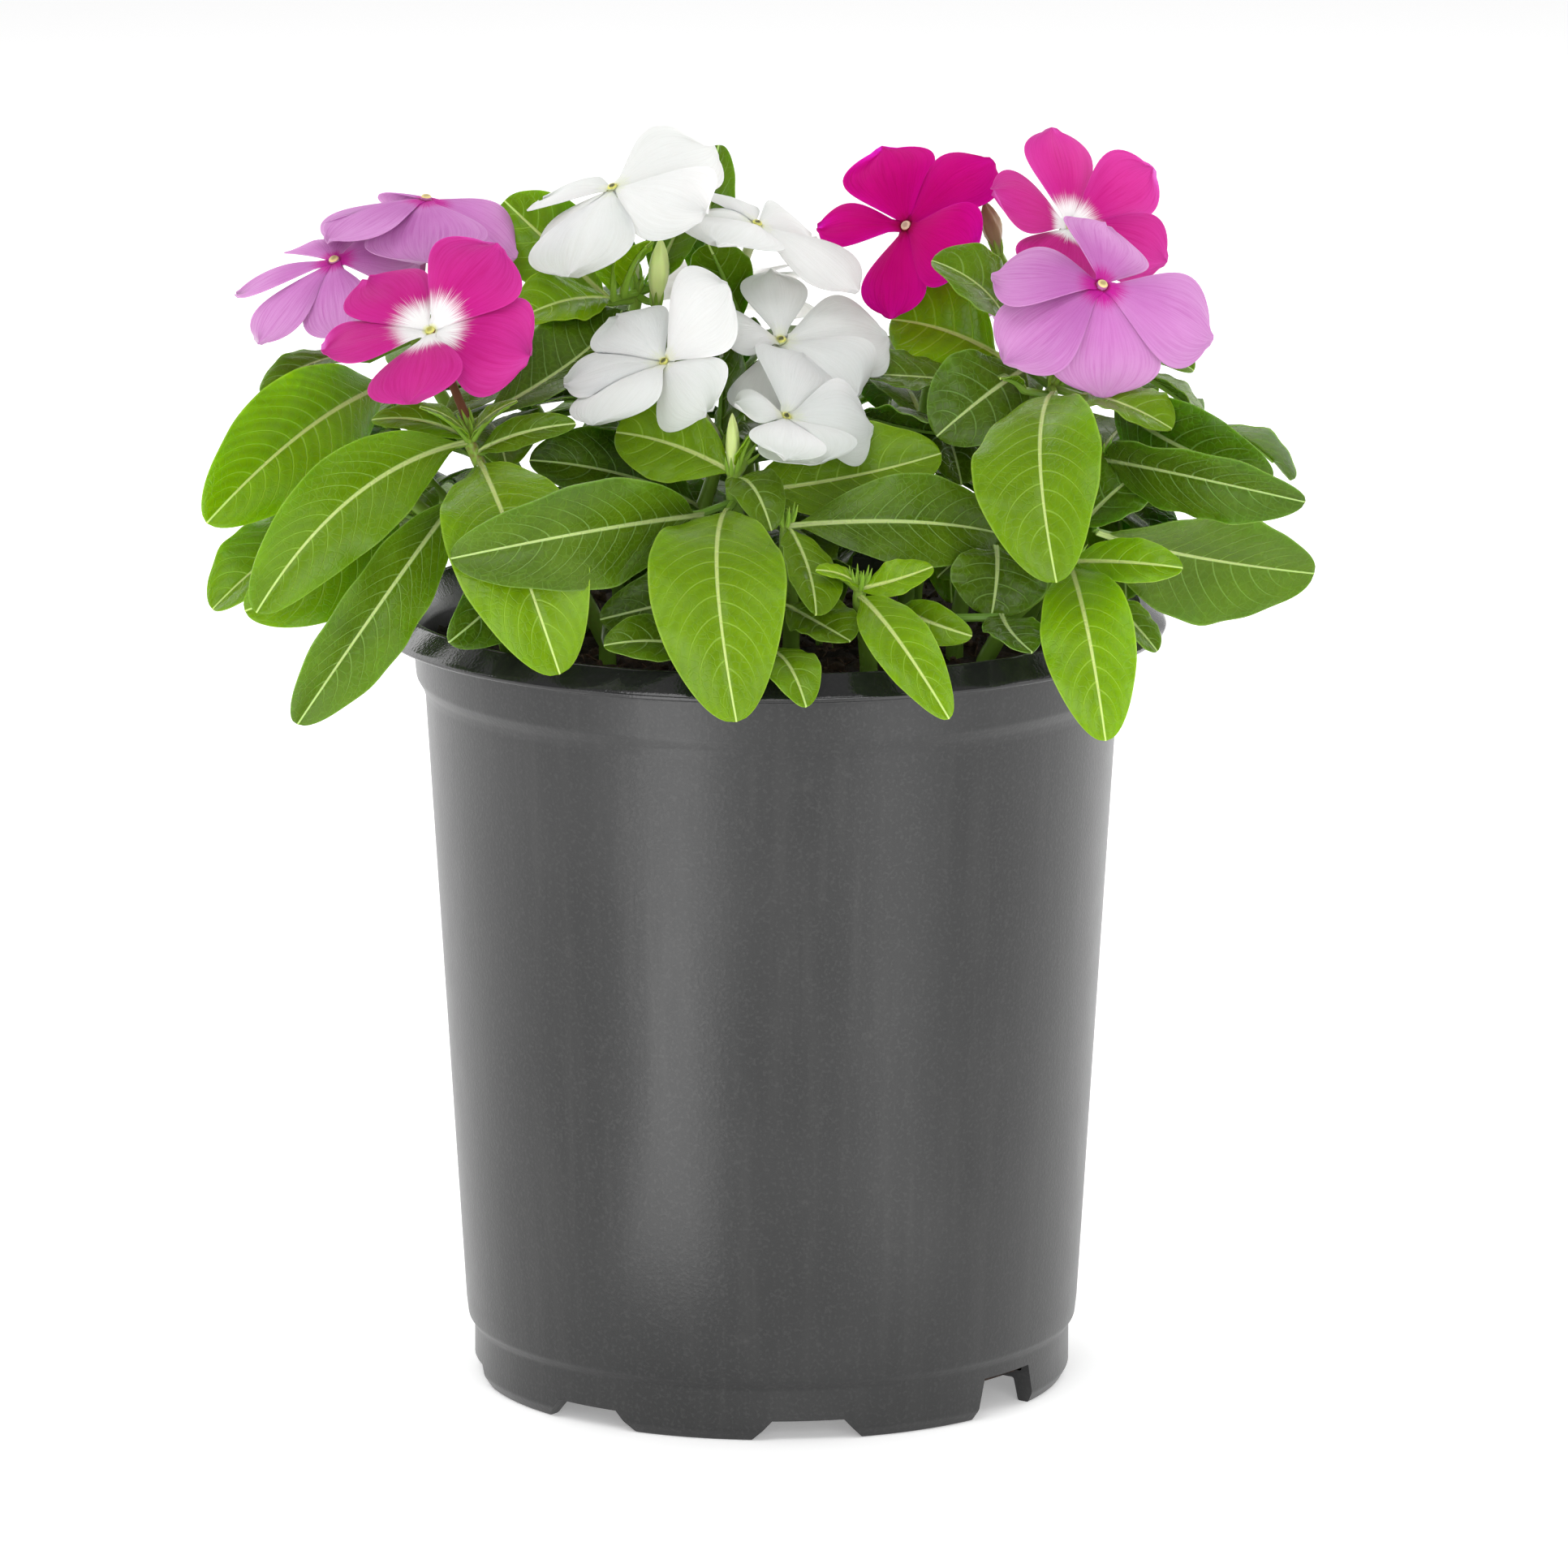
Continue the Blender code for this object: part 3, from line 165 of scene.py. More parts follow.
def leafy_stem(path, leaves=(), pairs=(), blooms=(), buds=(), tones=(0.4,)):
    """A stem's path, its drawn leaves, its leaf pairs by rule, its blooms and its buds.

    Its tones say how light its leaves are, from 0 for a dark old leaf to 1 for a young yellow-green one.
    Some tones are also painted light: raised on a leaf that lies in shade, on a leaf painted as lit through
    from behind, and on a leaf painted with a pale sheen. Drawn leaves take them in order, and leaves by
    rule take the last.
    """
    return {"path": path, "leaves": leaves, "pairs": pairs, "blooms": blooms, "buds": buds, "tones": tones}


SHOOTS = {
    "stem_front_left": leafy_stem(
        [(-34, -20), (-42, -26, 176), (-57, -36, 196), (-62, -36, 205)],
        [leaf((-61, -40, 201), (-43, -73, 164), 29, -20, 0.24, 0.02),
         leaf((-66, -36, 204), (-105, -64, 175), 21, 72, 0.10, 0.12),
         leaf((-63, -41, 197), (-97, -60, 151), 20, 92, 0.14, 0.09),
         leaf((-61, -28, 208), (-31, 2, 226), 22, -15, 0.06, 0.12),
         leaf((-60, -37, 203), (-40, -42, 210), 8, -50, 0.10),
         leaf((-66, -37, 206), (-82, -38, 210), 8, 40, 0.15),
         leaf((-60, -38, 207), (-52, -38, 214), 6, -20, 0.10),
         leaf((-66, -36, 207), (-72, -40, 213), 6, 30, 0.10),
         leaf((-48, -30, 182), (-66, -50, 166), 17, 70, 0.10)],
        pairs=[pair(0.45, 30, 60, 20)], blooms=["bloom_magenta_left"],
        tones=(0.7, 0.5, 0.28, 0.14, 0.3, 0.45, 0.6, 0.6, 0.1, 0.15)),
    "stem_left": leafy_stem(
        [(-46, -6), (-56, -9, 174), (-72, -16, 187), (-78, -18, 193)],
        [leaf((-85, -22, 190), (-115, -36, 170), 21, 20, 0.06),
         leaf((-76, -28, 190), (-108, -47, 172), 20, 70, 0.14, -0.05)],
        pairs=[pair(0.98, 26, 80, 0), pair(0.6, 34, 170, 5)], tones=(0.7, 0.7, 0.35)),
    "stem_back_left": leafy_stem(
        [(-40, 16), (-50, 16, 178), (-68, 14, 204), (-75, 16, 218)],
        [leaf((-79, 6, 210), (-116, -40, 189), 25, 58, 0.09, 0.05),
         leaf((-84, 14, 214), (-106, -2, 209), 11, 10, 0.10)],
        pairs=[pair(0.62, 38, 100, 10), pair(0.4, 40, 20, 15)],
        # The second leaf's tone, 0.45, is partly its own colour and partly painted sheen: it is raised to
        # paint in a pale grey-green sheen.
        blooms=["bloom_lilac_left", "bloom_lilac_back"], tones=(0.85, 0.45, 0.3)),
    "stem_front_middle": leafy_stem(
        [(-3, -26), (-5, -32, 178), (-8, -40, 196), (-6, -36, 201)],
        [leaf((-9, -46, 193), (-7, -87, 157), 29, -3, 0.24, 0.05),
         leaf((-14, -46, 192), (-65, -73, 188), 24, 100, 0.08, 0.08),
         leaf((-10, -40, 199), (-32, -30, 206), 18, 60, 0.07, 0.04),
         leaf((-5, -41, 195), (35, -37, 203), 24, -46, -0.04, 0.01),
         leaf((-8, -44, 197), (0, -54, 190), 12, -10, 0.25),
         leaf((-8, -39, 200), (-4, -42, 208), 4, -30, 0.05)],
        pairs=[pair(0.45, 32, 205, 25)], blooms=["bloom_white_front"],
        # The third leaf's tone, 0.75, is painted light: it is raised to lighten a leaf that lies in shade.
        buds=[((-8, -40, 199), (-8, -40, 212), 1.4)], tones=(0.65, 0.2, 0.75, 0.6, 0.3, 0.9, 0.15)),
    "stem_middle_left": leafy_stem(
        [(-16, -6), (-16, -8, 178), (-12, -12, 194), (-11, -13, 199)],
        [leaf((-19, -10, 187), (-50, -24, 199), 20, 50, 0.10),
         leaf((-8, -16, 197), (-10, -1, 220), 17, -118, 0.02)],
        pairs=[pair(0.75, 40, 200, 5), pair(0.5, 38, 120, 15)], blooms=["bloom_white_middle"],
        tones=(0.08, 0.3, 0.12)),
    "stem_middle_right": leafy_stem(
        [(11, -2), (12, -3, 178), (9, -4, 194), (7, -4, 200)],
        [leaf((15, -12, 208), (44, -27, 205), 20, 15, -0.04)],
        pairs=[pair(0.7, 36, 345, 0), pair(0.45, 38, 60, 15)], blooms=["bloom_white_upper"],
        tones=(0.15, 0.15)),
    "stem_top": leafy_stem(
        [(-24, 14), (-26, 15, 180), (-30, 14, 212), (-28, 12, 228)],
        [leaf((-34, 10, 227), (-56, 18, 247), 20, 55, 0.04),
         leaf((-33, 8, 227), (-53, -6, 225), 17, 40, 0.10),
         leaf((-33, 6, 228), (-32, 0, 243), 10, 0, 0.05),
         leaf((-31, 5, 229), (-25, -1, 241), 9, -10, 0.08),
         leaf((-24, 9, 230), (-17, 13, 245), 12, -30, 0.08)],
        pairs=[pair(0.8, 38, 110, 0), pair(0.6, 42, 30, 5)], blooms=["bloom_white_top"],
        buds=[((-24, 6, 226), (-23, 4, 241), 2.1)], tones=(0.8, 0.85, 0.95, 0.9, 0.35, 0.25)),
    "stem_back_middle": leafy_stem(
        [(-4, 18), (-4, 20, 180), (-8, 19, 206), (-9, 17, 218)],
        [leaf((-6, 12, 221), (-13, 5, 239), 13, 0, 0.06),
         leaf((-14, 19, 224), (-11, 23, 258), 13, 10, 0.06)],
        pairs=[pair(0.75, 40, 80, 0), pair(0.5, 42, 160, 10)], blooms=["bloom_white_back"],
        tones=(0.35, 0.4, 0.2)),
    "stem_back_right": leafy_stem(
        [(28, 14), (29, 15, 180), (34, 15, 212), (37, 15, 227)],
        [leaf((48, 8, 215), (25, 18, 221), 22, 58, 0.10, 0.03),
         leaf((42, -2, 211), (19, -8, 214), 17, 18, 0.02),
         leaf((46, 12, 226), (60, 6, 222), 12, -30, 0.15)],
        pairs=[pair(0.6, 40, 100, 5), pair(0.4, 42, 15, 10)], blooms=["bloom_crimson"],
        # The first leaf's tone, 1.0, is painted light: the leaf lies in shade under the crimson bloom and
        # is painted bright, as if lit through from behind.
        tones=(1.0, 0.25, 0.35, 0.25)),
    "stem_far_right": leafy_stem(
        [(46, 20), (47, 21, 180), (52, 25, 212), (53, 26, 224)],
        [leaf((60, 20, 216), (88, 8, 212), 16, -20, 0.12)],
        pairs=[pair(0.7, 40, 60, 0), pair(0.45, 44, 140, 5)], blooms=["bloom_magenta_right"],
        buds=[((47.5, 20.5, 235), (44.5, 20, 246), 2.0)], tones=(0.4, 0.25)),
    "stem_right": leafy_stem(
        [(38, -14), (42, -15, 178), (54, -22, 204), (58, -22, 214)],
        [leaf((58, -33, 215), (58, -73, 183), 28, -18, 0.20),
         leaf((53, -20, 218), (34, -20, 203), 22, 48, 0.08),
         leaf((50, -8, 218), (33, -9, 238), 22, 35, 0.18),
         leaf((64, -30, 214), (82, -43, 209), 17, -10, 0.08, 0.05),
         leaf((74, -6, 216), (93, -1, 200), 14, -9, 0.05),
         leaf((70, -20, 212), (103, -48, 200), 19, -78, 0.24, 0.04),
         leaf((52, -28, 215), (47, -34, 218), 5, 0, 0.10)],
        blooms=["bloom_lilac_right"], tones=(0.62, 0.12, 0.4, 0.6, 0.35, 0.2, 0.5, 0.2)),
    "stem_side_right": leafy_stem(
        [(52, -6), (58, -9, 174), (66, -20, 192), (68, -26, 200)],
        [leaf((70, -29, 203), (109, -58, 197), 21, -122, 0.12, -0.14),
         leaf((67, -34, 186), (113, -6, 172), 28, -118, -0.06, 0.06),
         leaf((63, -34, 186), (79, -30, 200), 17, -40, 0.07)],
        pairs=[pair(0.98, 30, 70, 5), pair(0.6, 36, 30, 10)], tones=(0.16, 0.32, 0.2, 0.3)),
    "stem_front_right": leafy_stem(
        [(44, -36), (50, -40, 170), (59, -46, 179), (61, -47, 182)],
        [leaf((61, -50, 182), (68, -77, 151), 20, -22, 0.19, -0.04),
         leaf((62, -51, 182), (84, -58, 183), 11, -52, 0.11, 0.03),
         leaf((46, -44, 185), (45, -52, 172), 21, 20, 0.16),
         leaf((68, -45, 175), (79, -50, 164), 10, -17, 0.03)],
        tones=(0.8, 0.75, 0.15, 0.3, 0.3)),
    "stem_low_right": leafy_stem(
        [(20, -44), (19, -52, 170), (18, -59, 176), (18, -60, 179)],
        [leaf((18, -62, 177), (36, -89, 158), 13, -32, 0.17),
         leaf((19, -60, 179), (33, -62, 184), 9, -43, 0.06, 0.08),
         leaf((26, -52, 174), (41, -63, 170), 9, -80, 0.14),
         leaf((17, -60, 179), (9, -66, 184), 6, 30, 0.10),
         leaf((47, -56, 173), (53, -71, 168), 13, 0, 0.02, 0.08)],
        tones=(0.75, 0.85, 0.5, 0.9, 0.1, 0.3)),
    "stem_low_middle": leafy_stem(
        [(4, -36), (4, -42, 172), (3, -48, 184), (3, -49, 190)],
        [leaf((3, -51, 191), (9, -72, 176), 14, 20, 0.04, -0.03),
         leaf((3, -50, 191), (47, -36, 186), 20, -68, 0.18),
         leaf((2, -60, 176), (16, -79, 172), 16, -30, 0.04, -0.04),
         leaf((-1, -70, 168), (7, -87, 160), 12, -5, 0.11),
         leaf((-12, -62, 165), (-34, -74, 170), 13, 40, 0.12),
         leaf((2, -44, 180), (-35, -56, 172), 16, 75, 0.10)],
        tones=(0.45, 0.2, 0.35, 0.5, 0.2, 0.08, 0.2)),
    "stem_rear_left": leafy_stem(
        [(-32, 38), (-38, 44, 178), (-52, 54, 198), (-56, 57, 206)],
        pairs=[pair(0.97, 22, 40, -25), pair(0.85, 38, 130, 5), pair(0.66, 46, 215, 25),
               pair(0.45, 42, 120, 35)], tones=(0.45,)),
    "stem_rear_middle": leafy_stem(
        [(-4, 46), (-4, 50, 178), (-6, 57, 196), (-6, 59, 204)],
        pairs=[pair(0.85, 30, 100, 8), pair(0.66, 40, 15, 25), pair(0.45, 42, 100, 55)],
        blooms=["bloom_white_rear"], tones=(0.4,)),
    "stem_rear_right": leafy_stem(
        [(30, 38), (34, 44, 178), (46, 54, 198), (50, 58, 206)],
        pairs=[pair(0.85, 36, 50, 5), pair(0.66, 42, 150, 25), pair(0.45, 42, 60, 40)],
        blooms=["bloom_lilac_rear"], tones=(0.5,)),
    "stem_side_rear": leafy_stem(
        [(56, 10), (62, 14, 174), (76, 24, 190), (80, 27, 198)],
        pairs=[pair(0.97, 22, 110, -10), pair(0.84, 36, 32, 18), pair(0.62, 40, 95, 30)], tones=(0.4,)),
    "stem_side_left": leafy_stem(
        [(-56, 14), (-62, 20, 174), (-76, 32, 188), (-80, 35, 195)],
        pairs=[pair(0.97, 24, 70, -20), pair(0.84, 36, 155, 5), pair(0.62, 40, 80, 25)], tones=(0.4,)),
}


def bloom(colour, eye, facing, spin, radius, calyx, lifts, skews, reaches=(1,) * 5, widths=(1,) * 5,
          share=PETAL_SHARE):
    """A bloom whose first petal is at spin. It faces (azimuth, rise): azimuth 0 is the front, 90 the right.

    Each petal has a lift out of the bloom's plane, a skew from its even place, and a reach and a width that
    are shares of the bloom's own.
    """
    return {
        "colour": colour, "eye": vec(*eye), "azimuth": facing[0], "rise": facing[1], "spin": spin,
        "radius": radius, "calyx": vec(*calyx), "lifts": lifts, "skews": skews, "reaches": reaches,
        "widths": widths, "share": share,
    }


BLOOMS = {
    "bloom_magenta_left": bloom(
        "magenta", (-70, -34, 228), (-27, 53), 71, 23.0, (-62, -33, 208),
        lifts=(16, 8, 12, 7, -8), skews=(-9, 4, -5, -7, -6), reaches=(0.97, 0.9, 0.96, 0.96, 0.97),
        widths=(0.97, 0.8, 0.62, 0.88, 0.97), share=1.08),
    "bloom_lilac_left": bloom(
        "lilac", (-91, 6, 236), (-32, 60), 36, 22.0, (-77, 15, 220),
        lifts=(-15, -21, -13, -13, -7), skews=(-1, 24, 17, -5, -27), reaches=(0.82, 1.03, 1.06, 1.08, 1.03),
        widths=(1, 0.8, 0.56, 0.8, 0.75), share=0.95),
    "bloom_lilac_back": bloom(
        "lilac", (-72, 15, 247.6), (21, 79), 45, 22.5, (-74, 18, 223),
        lifts=(-34, -36, -22, -16, -28), skews=(11, 9, -3, -13, -3), reaches=(0.96, 1.04, 1.04, 0.99, 0.98),
        share=1.15),
    "bloom_white_front": bloom(
        "white", (3, -39, 211), (31, 52), 56, 18.0, (-3, -32, 205),
        lifts=(-4, 9, 21, 15, -1), skews=(-7, 30, 34, -13, -1), reaches=(1.22, 0.62, 1.22, 0.94, 1.05),
        widths=(1, 0.56, 0.75, 1, 1), share=1.2),
    "bloom_white_middle": bloom(
        "white", (-22, -31, 221), (-44, 47), 61, 22.0, (-11, -14, 202),
        lifts=(22, 2, 11, 19, 0), skews=(-10, 20, 6, -9, -20), reaches=(0.94, 0.97, 0.96, 1.05, 0.96),
        widths=(1.05, 0.7, 0.6, 1, 0.75), share=1.15),
    "bloom_white_upper": bloom(
        "white", (2, -12, 222.2), (-7, 59), 39, 20.5, (7, -5, 203),
        lifts=(-18, 2, 22, -34, -12), skews=(-15, -13, 10, 16, -6), reaches=(1.18, 1.06, 0.7, 0.8, 0.99),
        widths=(1, 0.6, 0.84, 1, 1), share=1.15),
    "bloom_white_top": bloom(
        "white", (-33, 4, 251.6), (-36, 63), 79, 23.5, (-28, 11, 231),
        lifts=(-7, -18, -25, -9, 3), skews=(-20, 21, 6, -20, -23), reaches=(1.01, 0.97, 0.91, 1.07, 1.22),
        widths=(0.9, 0.62, 0.66, 0.95, 0.74), share=1.22),
    "bloom_white_back": bloom(
        "white", (-3, 5, 243.8), (46, 65), 0, 20.5, (-9, 16, 221),
        lifts=(-18, -12, -13, 9, -5), skews=(1, 2, -22, -17, -4), reaches=(1.06, 0.92, 0.65, 1.11, 1.25),
        widths=(0.75, 0.7, 0.6, 1, 0.7), share=1.15),
    "bloom_crimson": bloom(
        "crimson", (28, 10, 242.5), (-29, 36), 47, 21.0, (37, 15, 230),
        lifts=(-17, -7, 4, -11, 10), skews=(12, 2, -6, 6, 2), reaches=(1.13, 1.08, 0.92, 0.93, 0.96),
        widths=(0.75, 0.95, 0.56, 0.8, 0.94), share=1.0),
    "bloom_magenta_right": bloom(
        "magenta", (62, 10, 242.3), (33, 38), 16, 21.5, (53, 25, 227),
        lifts=(11, 12, 16, 12, 20), skews=(3, -8, -5, -8, 9), reaches=(1.12, 0.99, 0.95, 0.95, 0.98),
        widths=(0.86, 0.96, 0.92, 1, 1), share=0.86),
    "bloom_lilac_right": bloom(
        "lilac", (68, -30, 237), (29, 48), 51, 23.5, (59, -22, 217),
        lifts=(-14, -23, -31, -31, -9), skews=(4, 19, 0, -11, -13), reaches=(1, 0.96, 1.09, 0.97, 1.1),
        widths=(0.73, 0.86, 0.75, 0.85, 0.82), share=1.2),
    "bloom_white_rear": bloom(
        "white", (-8, 68, 220), (180, 68), 90, 21.0, (-6, 62, 207),
        lifts=(-6, 2, -8, 4, -4), skews=(0, 0, 0, 0, 0)),
    "bloom_lilac_rear": bloom(
        "lilac", (56, 65, 220), (150, 60), 100, 21.5, (51, 58, 207),
        lifts=(-8, -4, 4, -6, 0), skews=(0, 0, 0, 0, 0)),
}


def smooth_path(points, count):
    """Points along a smooth curve through the given ones."""
    ends = [points[0] * 2 - points[1]] + list(points) + [points[-1] * 2 - points[-2]]
    spans = len(points) - 1
    out = []
    for step in range(count):
        place = step * spans / (count - 1)
        span = min(int(place), spans - 1)
        t = place - span
        a, b, c, d = ends[span : span + 4]
        bend = 2 * a - 5 * b + 4 * c - d
        twist = 3 * b - a - 3 * c + d
        out.append(0.5 * (2 * b + (c - a) * t + bend * t * t + twist * t * t * t))
    return out


def stem_axis(shoot, depth=HOLE_DEPTH - HOLE_GAP, count=6):
    """The stem's centre line, from under the soil to its top."""
    root, *rest = shoot["path"]
    ground = vec(*root, SOIL_Z - depth)
    above = vec(*root, SOIL_Z + 4)
    return [ground] + smooth_path([above] + [vec(*point) for point in rest], count)


def along(points, share):
    """The point at a share of a polyline's number of spans."""
    place = share * (len(points) - 1)
    span = min(int(place), len(points) - 2)
    return points[span].lerp(points[span + 1], place - span)


def nearest(points, target):
    """The point of a polyline that lies nearest to the target."""
    best = points[0]
    for a, b in zip(points, points[1:]):
        t = max(0.0, min(1.0, (target - a).dot(b - a) / (b - a).length_squared))
        place = a.lerp(b, t)
        if (place - target).length < (best - target).length:
            best = place
    return best


def circle(radius, turns):
    """The (x, y) of points round the upright axis."""
    angles = [2 * pi * turn / turns for turn in range(turns)]
    return [(radius * cos(angle), radius * sin(angle)) for angle in angles]


def ring_faces(rings, turns):
    """Faces between neighbouring rings of points."""
    faces = []
    for low in range(0, (rings - 1) * turns, turns):
        for turn in range(turns):
            ahead = (turn + 1) % turns
            faces.append((low + turn, low + ahead, low + turns + ahead, low + turns + turn))
    return faces


def tube_faces(rings, sides):
    """Faces of rings of points, with a flat face at each end."""
    foot = tuple(reversed(range(sides)))
    top = tuple(range((rings - 1) * sides, rings * sides))
    return ring_faces(rings, sides) + [foot, top]


def turned_faces(rings, turns):
    """Faces of one point on the axis, rings of points, and one more point on the axis."""
    faces = []
    last = 1 + (rings - 1) * turns
    for turn in range(turns):
        ahead = (turn + 1) % turns
        faces.append((0, 1 + ahead, 1 + turn))
        for low in range(1, last, turns):
            faces.append((low + turn, low + ahead, low + turns + ahead, low + turns + turn))
        faces.append((last + turn, last + ahead, last + turns))
    return faces


def tube_mesh(points, radii, sides=STEM_SIDES):
    """A closed round tube along points, with a radius at each."""
    verts = []
    side = (points[1] - points[0]).orthogonal().normalized()
    for index, (point, radius) in enumerate(zip(points, radii)):
        ahead = points[min(index + 1, len(points) - 1)] - points[max(index - 1, 0)]
        ahead.normalize()
        side = (side - ahead * side.dot(ahead)).normalized()
        across = ahead.cross(side)
        for x, y in circle(1.0, sides):
            verts.append(point + (side * x + across * y) * radius)
    return verts, tube_faces(len(points), sides)


def leaf_frame(blade):
    """The blade's direction, its side and its upper face's normal. The side is level when roll is 0."""
    ahead = (blade["tip"] - blade["base"]).normalized()
    side = ahead.cross(vec(0, 0, 1))
    side = side.normalized() if side.length > 1e-4 else vec(1, 0, 0)
    up = side.cross(ahead)
    c = cos(radians(blade["roll"]))
    s = sin(radians(blade["roll"]))
    return ahead, side * c + up * s, up * c - side * s


def leaf_half_width(u, width, petiole):
    """Half the blade's width at u along it: an oval, blunter towards the tip, and a petiole at its foot."""
    share = np.clip((u - PETIOLE_SHARE) / (1 - PETIOLE_SHARE), 0, 1)
    taper = LEAF_BASE_TAPER + (LEAF_TIP_TAPER - LEAF_BASE_TAPER) * share
    oval = 0.5 * width * np.maximum(0, np.sin(pi * share**LEAF_FULLEST)) ** taper
    return np.maximum(oval, np.where(u < 0.5, petiole, 0.0))


def leaf_wave(blade, u, v):
    """The waves of the blade's edges, as a share of its width."""
    return WAVE * v * v * np.sin(2 * pi * WAVES_ALONG * u + blade["phase"] + 1.3 * v)


def leaf_point(blade, u, v, wider=0.0):
    """(point, normal) of the blade's middle surface at u along it and v across it, from -1 to 1."""
    base = blade["base"]
    tip = blade["tip"]
    length = (tip - base).length
    _, side, up = leaf_frame(blade)
    middle = (base + tip) / 2 + (up * blade["arch"] + side * blade["bow"]) * 2 * length
    centre = base * (1 - u) ** 2 + middle * 2 * u * (1 - u) + tip * u * u
    ahead = ((middle - base) * (1 - u) + (tip - middle) * u).normalized()
    across = (side - ahead * side.dot(ahead)).normalized()
    normal = across.cross(ahead)
    half = leaf_half_width(u, blade["width"], 0.5 * PETIOLE_WIDTH) + wider
    fold = radians(LEAF_FOLD)
    height = abs(v) * half * sin(fold) + leaf_wave(blade, u, v) * blade["width"] * sin(pi * u)
    return centre + across * v * half * cos(fold) + normal * height, normal


def leaf_grid(blade, wider=0.0, first=0):
    """Rows of (point, normal) across the leaf: its foot on the stem, the blade's stations, the tip."""
    rows = []
    if first == 0 and blade["foot"] != blade["base"]:
        _, side, _ = leaf_frame(blade)
        half = 0.5 * PETIOLE_WIDTH + wider
        reach = (blade["base"] - blade["foot"]).normalized()
        side = (side - reach * side.dot(reach)).normalized()
        rows.append([(blade["foot"] + side * v * half, side.cross(reach)) for v in (-1, 0, 1)])
    stations = SMALL_LEAF_STATIONS if blade["small"] else LEAF_STATIONS
    for u in stations[first:-1]:
        rows.append([leaf_point(blade, u, v, wider) for v in (-1, 0, 1)])
    rows.append([leaf_point(blade, 1.0, 0.0)])
    return rows


def bloom_axes(flower):
    """The way that the bloom faces, and the ways to its right and to its top."""
    azimuth = radians(flower["azimuth"])
    rise = radians(flower["rise"])
    face = vec(sin(azimuth) * cos(rise), -cos(azimuth) * cos(rise), sin(rise))
    right = vec(cos(azimuth), sin(azimuth), 0)
    return face, right, face.cross(right)


def petal_axes(flower, number):
    """The petal's direction, its side and its upper face's normal, and its length and width."""
    face, right, top = bloom_axes(flower)
    angle = radians(flower["spin"] + 72 * number + flower["skews"][number])
    lift = radians(flower["lifts"][number])
    flat = right * cos(angle) + top * sin(angle)
    side = top * cos(angle) - right * sin(angle)
    length = flower["radius"] * flower["reaches"][number]
    width = flower["share"] * flower["widths"][number] * flower["radius"]
    return flat * cos(lift) + face * sin(lift), side, face * cos(lift) - flat * sin(lift), length, width


def petal_half_width(t, width):
    """Half the petal's width at t along it: narrow at its claw and full towards its end."""
    full = 0.5 * width * np.maximum(0, np.sin(pi * t**PETAL_FULLEST)) ** PETAL_BLUNTNESS
    return np.maximum(full, np.where(t < 0.5, CLAW_HALF_WIDTH, 0.0))


def petal_point(flower, number, t, v, wider=0.0):
    """(point, normal) of a petal's middle surface at t from the eye to its end and v across it."""
    ahead, side, normal, length, width = petal_axes(flower, number)
    reach = PETAL_ROOT + t * (length - PETAL_ROOT)
    half = petal_half_width(t, width) + wider
    tilt = radians(PETAL_TILT)
    centre = flower["eye"] + ahead * reach + normal * (PETAL_CUP * sin(pi * t) - PETAL_SINK)
    centre += side * PETAL_SWEEP * length * t
    across = side * cos(tilt) + normal * sin(tilt) + ahead * PETAL_SLANT * t
    return centre + across * v * half, normal * cos(tilt) - side * sin(tilt)


def petal_grid(flower, number, wider=0.0):
    rows = [[petal_point(flower, number, t, v, wider) for v in (-1, 0, 1)] for t in PETAL_STATIONS[:-1]]
    rows.append([petal_point(flower, number, 1.0, 0.0)])
    return rows


def sheet_faces(rows):
    """Triangles that join rows of three points, and the last row's single point."""
    faces = []
    for row in range(len(rows) - 2):
        for column in range(2):
            a = 3 * row + column
            faces.append((a, a + 1, a + 4))
            faces.append((a, a + 4, a + 3))
    last = 3 * (len(rows) - 2)
    for column in range(2):
        faces.append((last + column, last + column + 1, last + 3))
    return faces


def sheet_points(rows, offset=0.0):
    return [point + normal * offset for row in rows for point, normal in row]


def sheet_tree(rows):
    """The sheet as a search tree."""
    return BVHTree.FromPolygons(sheet_points(rows), sheet_faces(rows))


def padded_tree(rows, pad=CLEAR):
    """The sheet thickened by pad on each face, to test that it keeps clear of its neighbours."""
    faces = sheet_faces(rows)
    verts = sheet_points(rows, pad) + sheet_points(rows, -pad)
    count = len(verts) // 2
    last = count - 1
    both = faces + [(c + count, b + count, a + count) for a, b, c in faces]
    rim = list(range(0, count - 1, 3)) + [last] + list(range(count - 2, 0, -3)) + [1]
    for a, b in zip(rim, rim[1:] + rim[:1]):
        both.append((a, b, b + count, a + count))
    return BVHTree.FromPolygons(verts, both)


class Placed:
    """What is in place so far, so that each later leaf and petal is bent clear of it."""

    def __init__(self):
        self.items = []

    def add(self, owner, tree, outer=None):
        self.items.append((owner, tree, outer))

    def free(self, owner, tree, outer):
        """Whether the padded shape touches nothing. Of one stem's leaves only their outer parts count."""
        for other, full, far in self.items:
            if other == owner:
                if outer is not None and far is not None and outer.overlap(far):
                    return False
            elif tree.overlap(full):
                return False
        return True


def bent_blades(blade):
    """The blade, then the same blade bent more and more: nearer or farther, rolled, arched and shorter."""
    tries = []
    depths = (0, -4, 4, -8, 8, -13, 13, -18, 18, -24, 24)
    rolls = (0, -14, 14, -28, 28)
    for depth, roll, arch, shorter in product(depths, rolls, (0, -0.07, 0.07), (0, 0.12, 0.25)):
        cost = abs(depth) / 4 + abs(roll) / 12 + abs(arch) / 0.06 + shorter / 0.05
        tries.append((cost, depth, roll, arch, shorter))
    view = vec(0, cos(radians(VIEW_DOWN)), -sin(radians(VIEW_DOWN)))
    for _, depth, roll, arch, shorter in sorted(tries):
        bent = dict(blade)
        bent["tip"] = blade["tip"].lerp(blade["base"], shorter) + view * depth
        bent["roll"] = blade["roll"] + roll
        bent["arch"] = blade["arch"] + arch
        yield bent


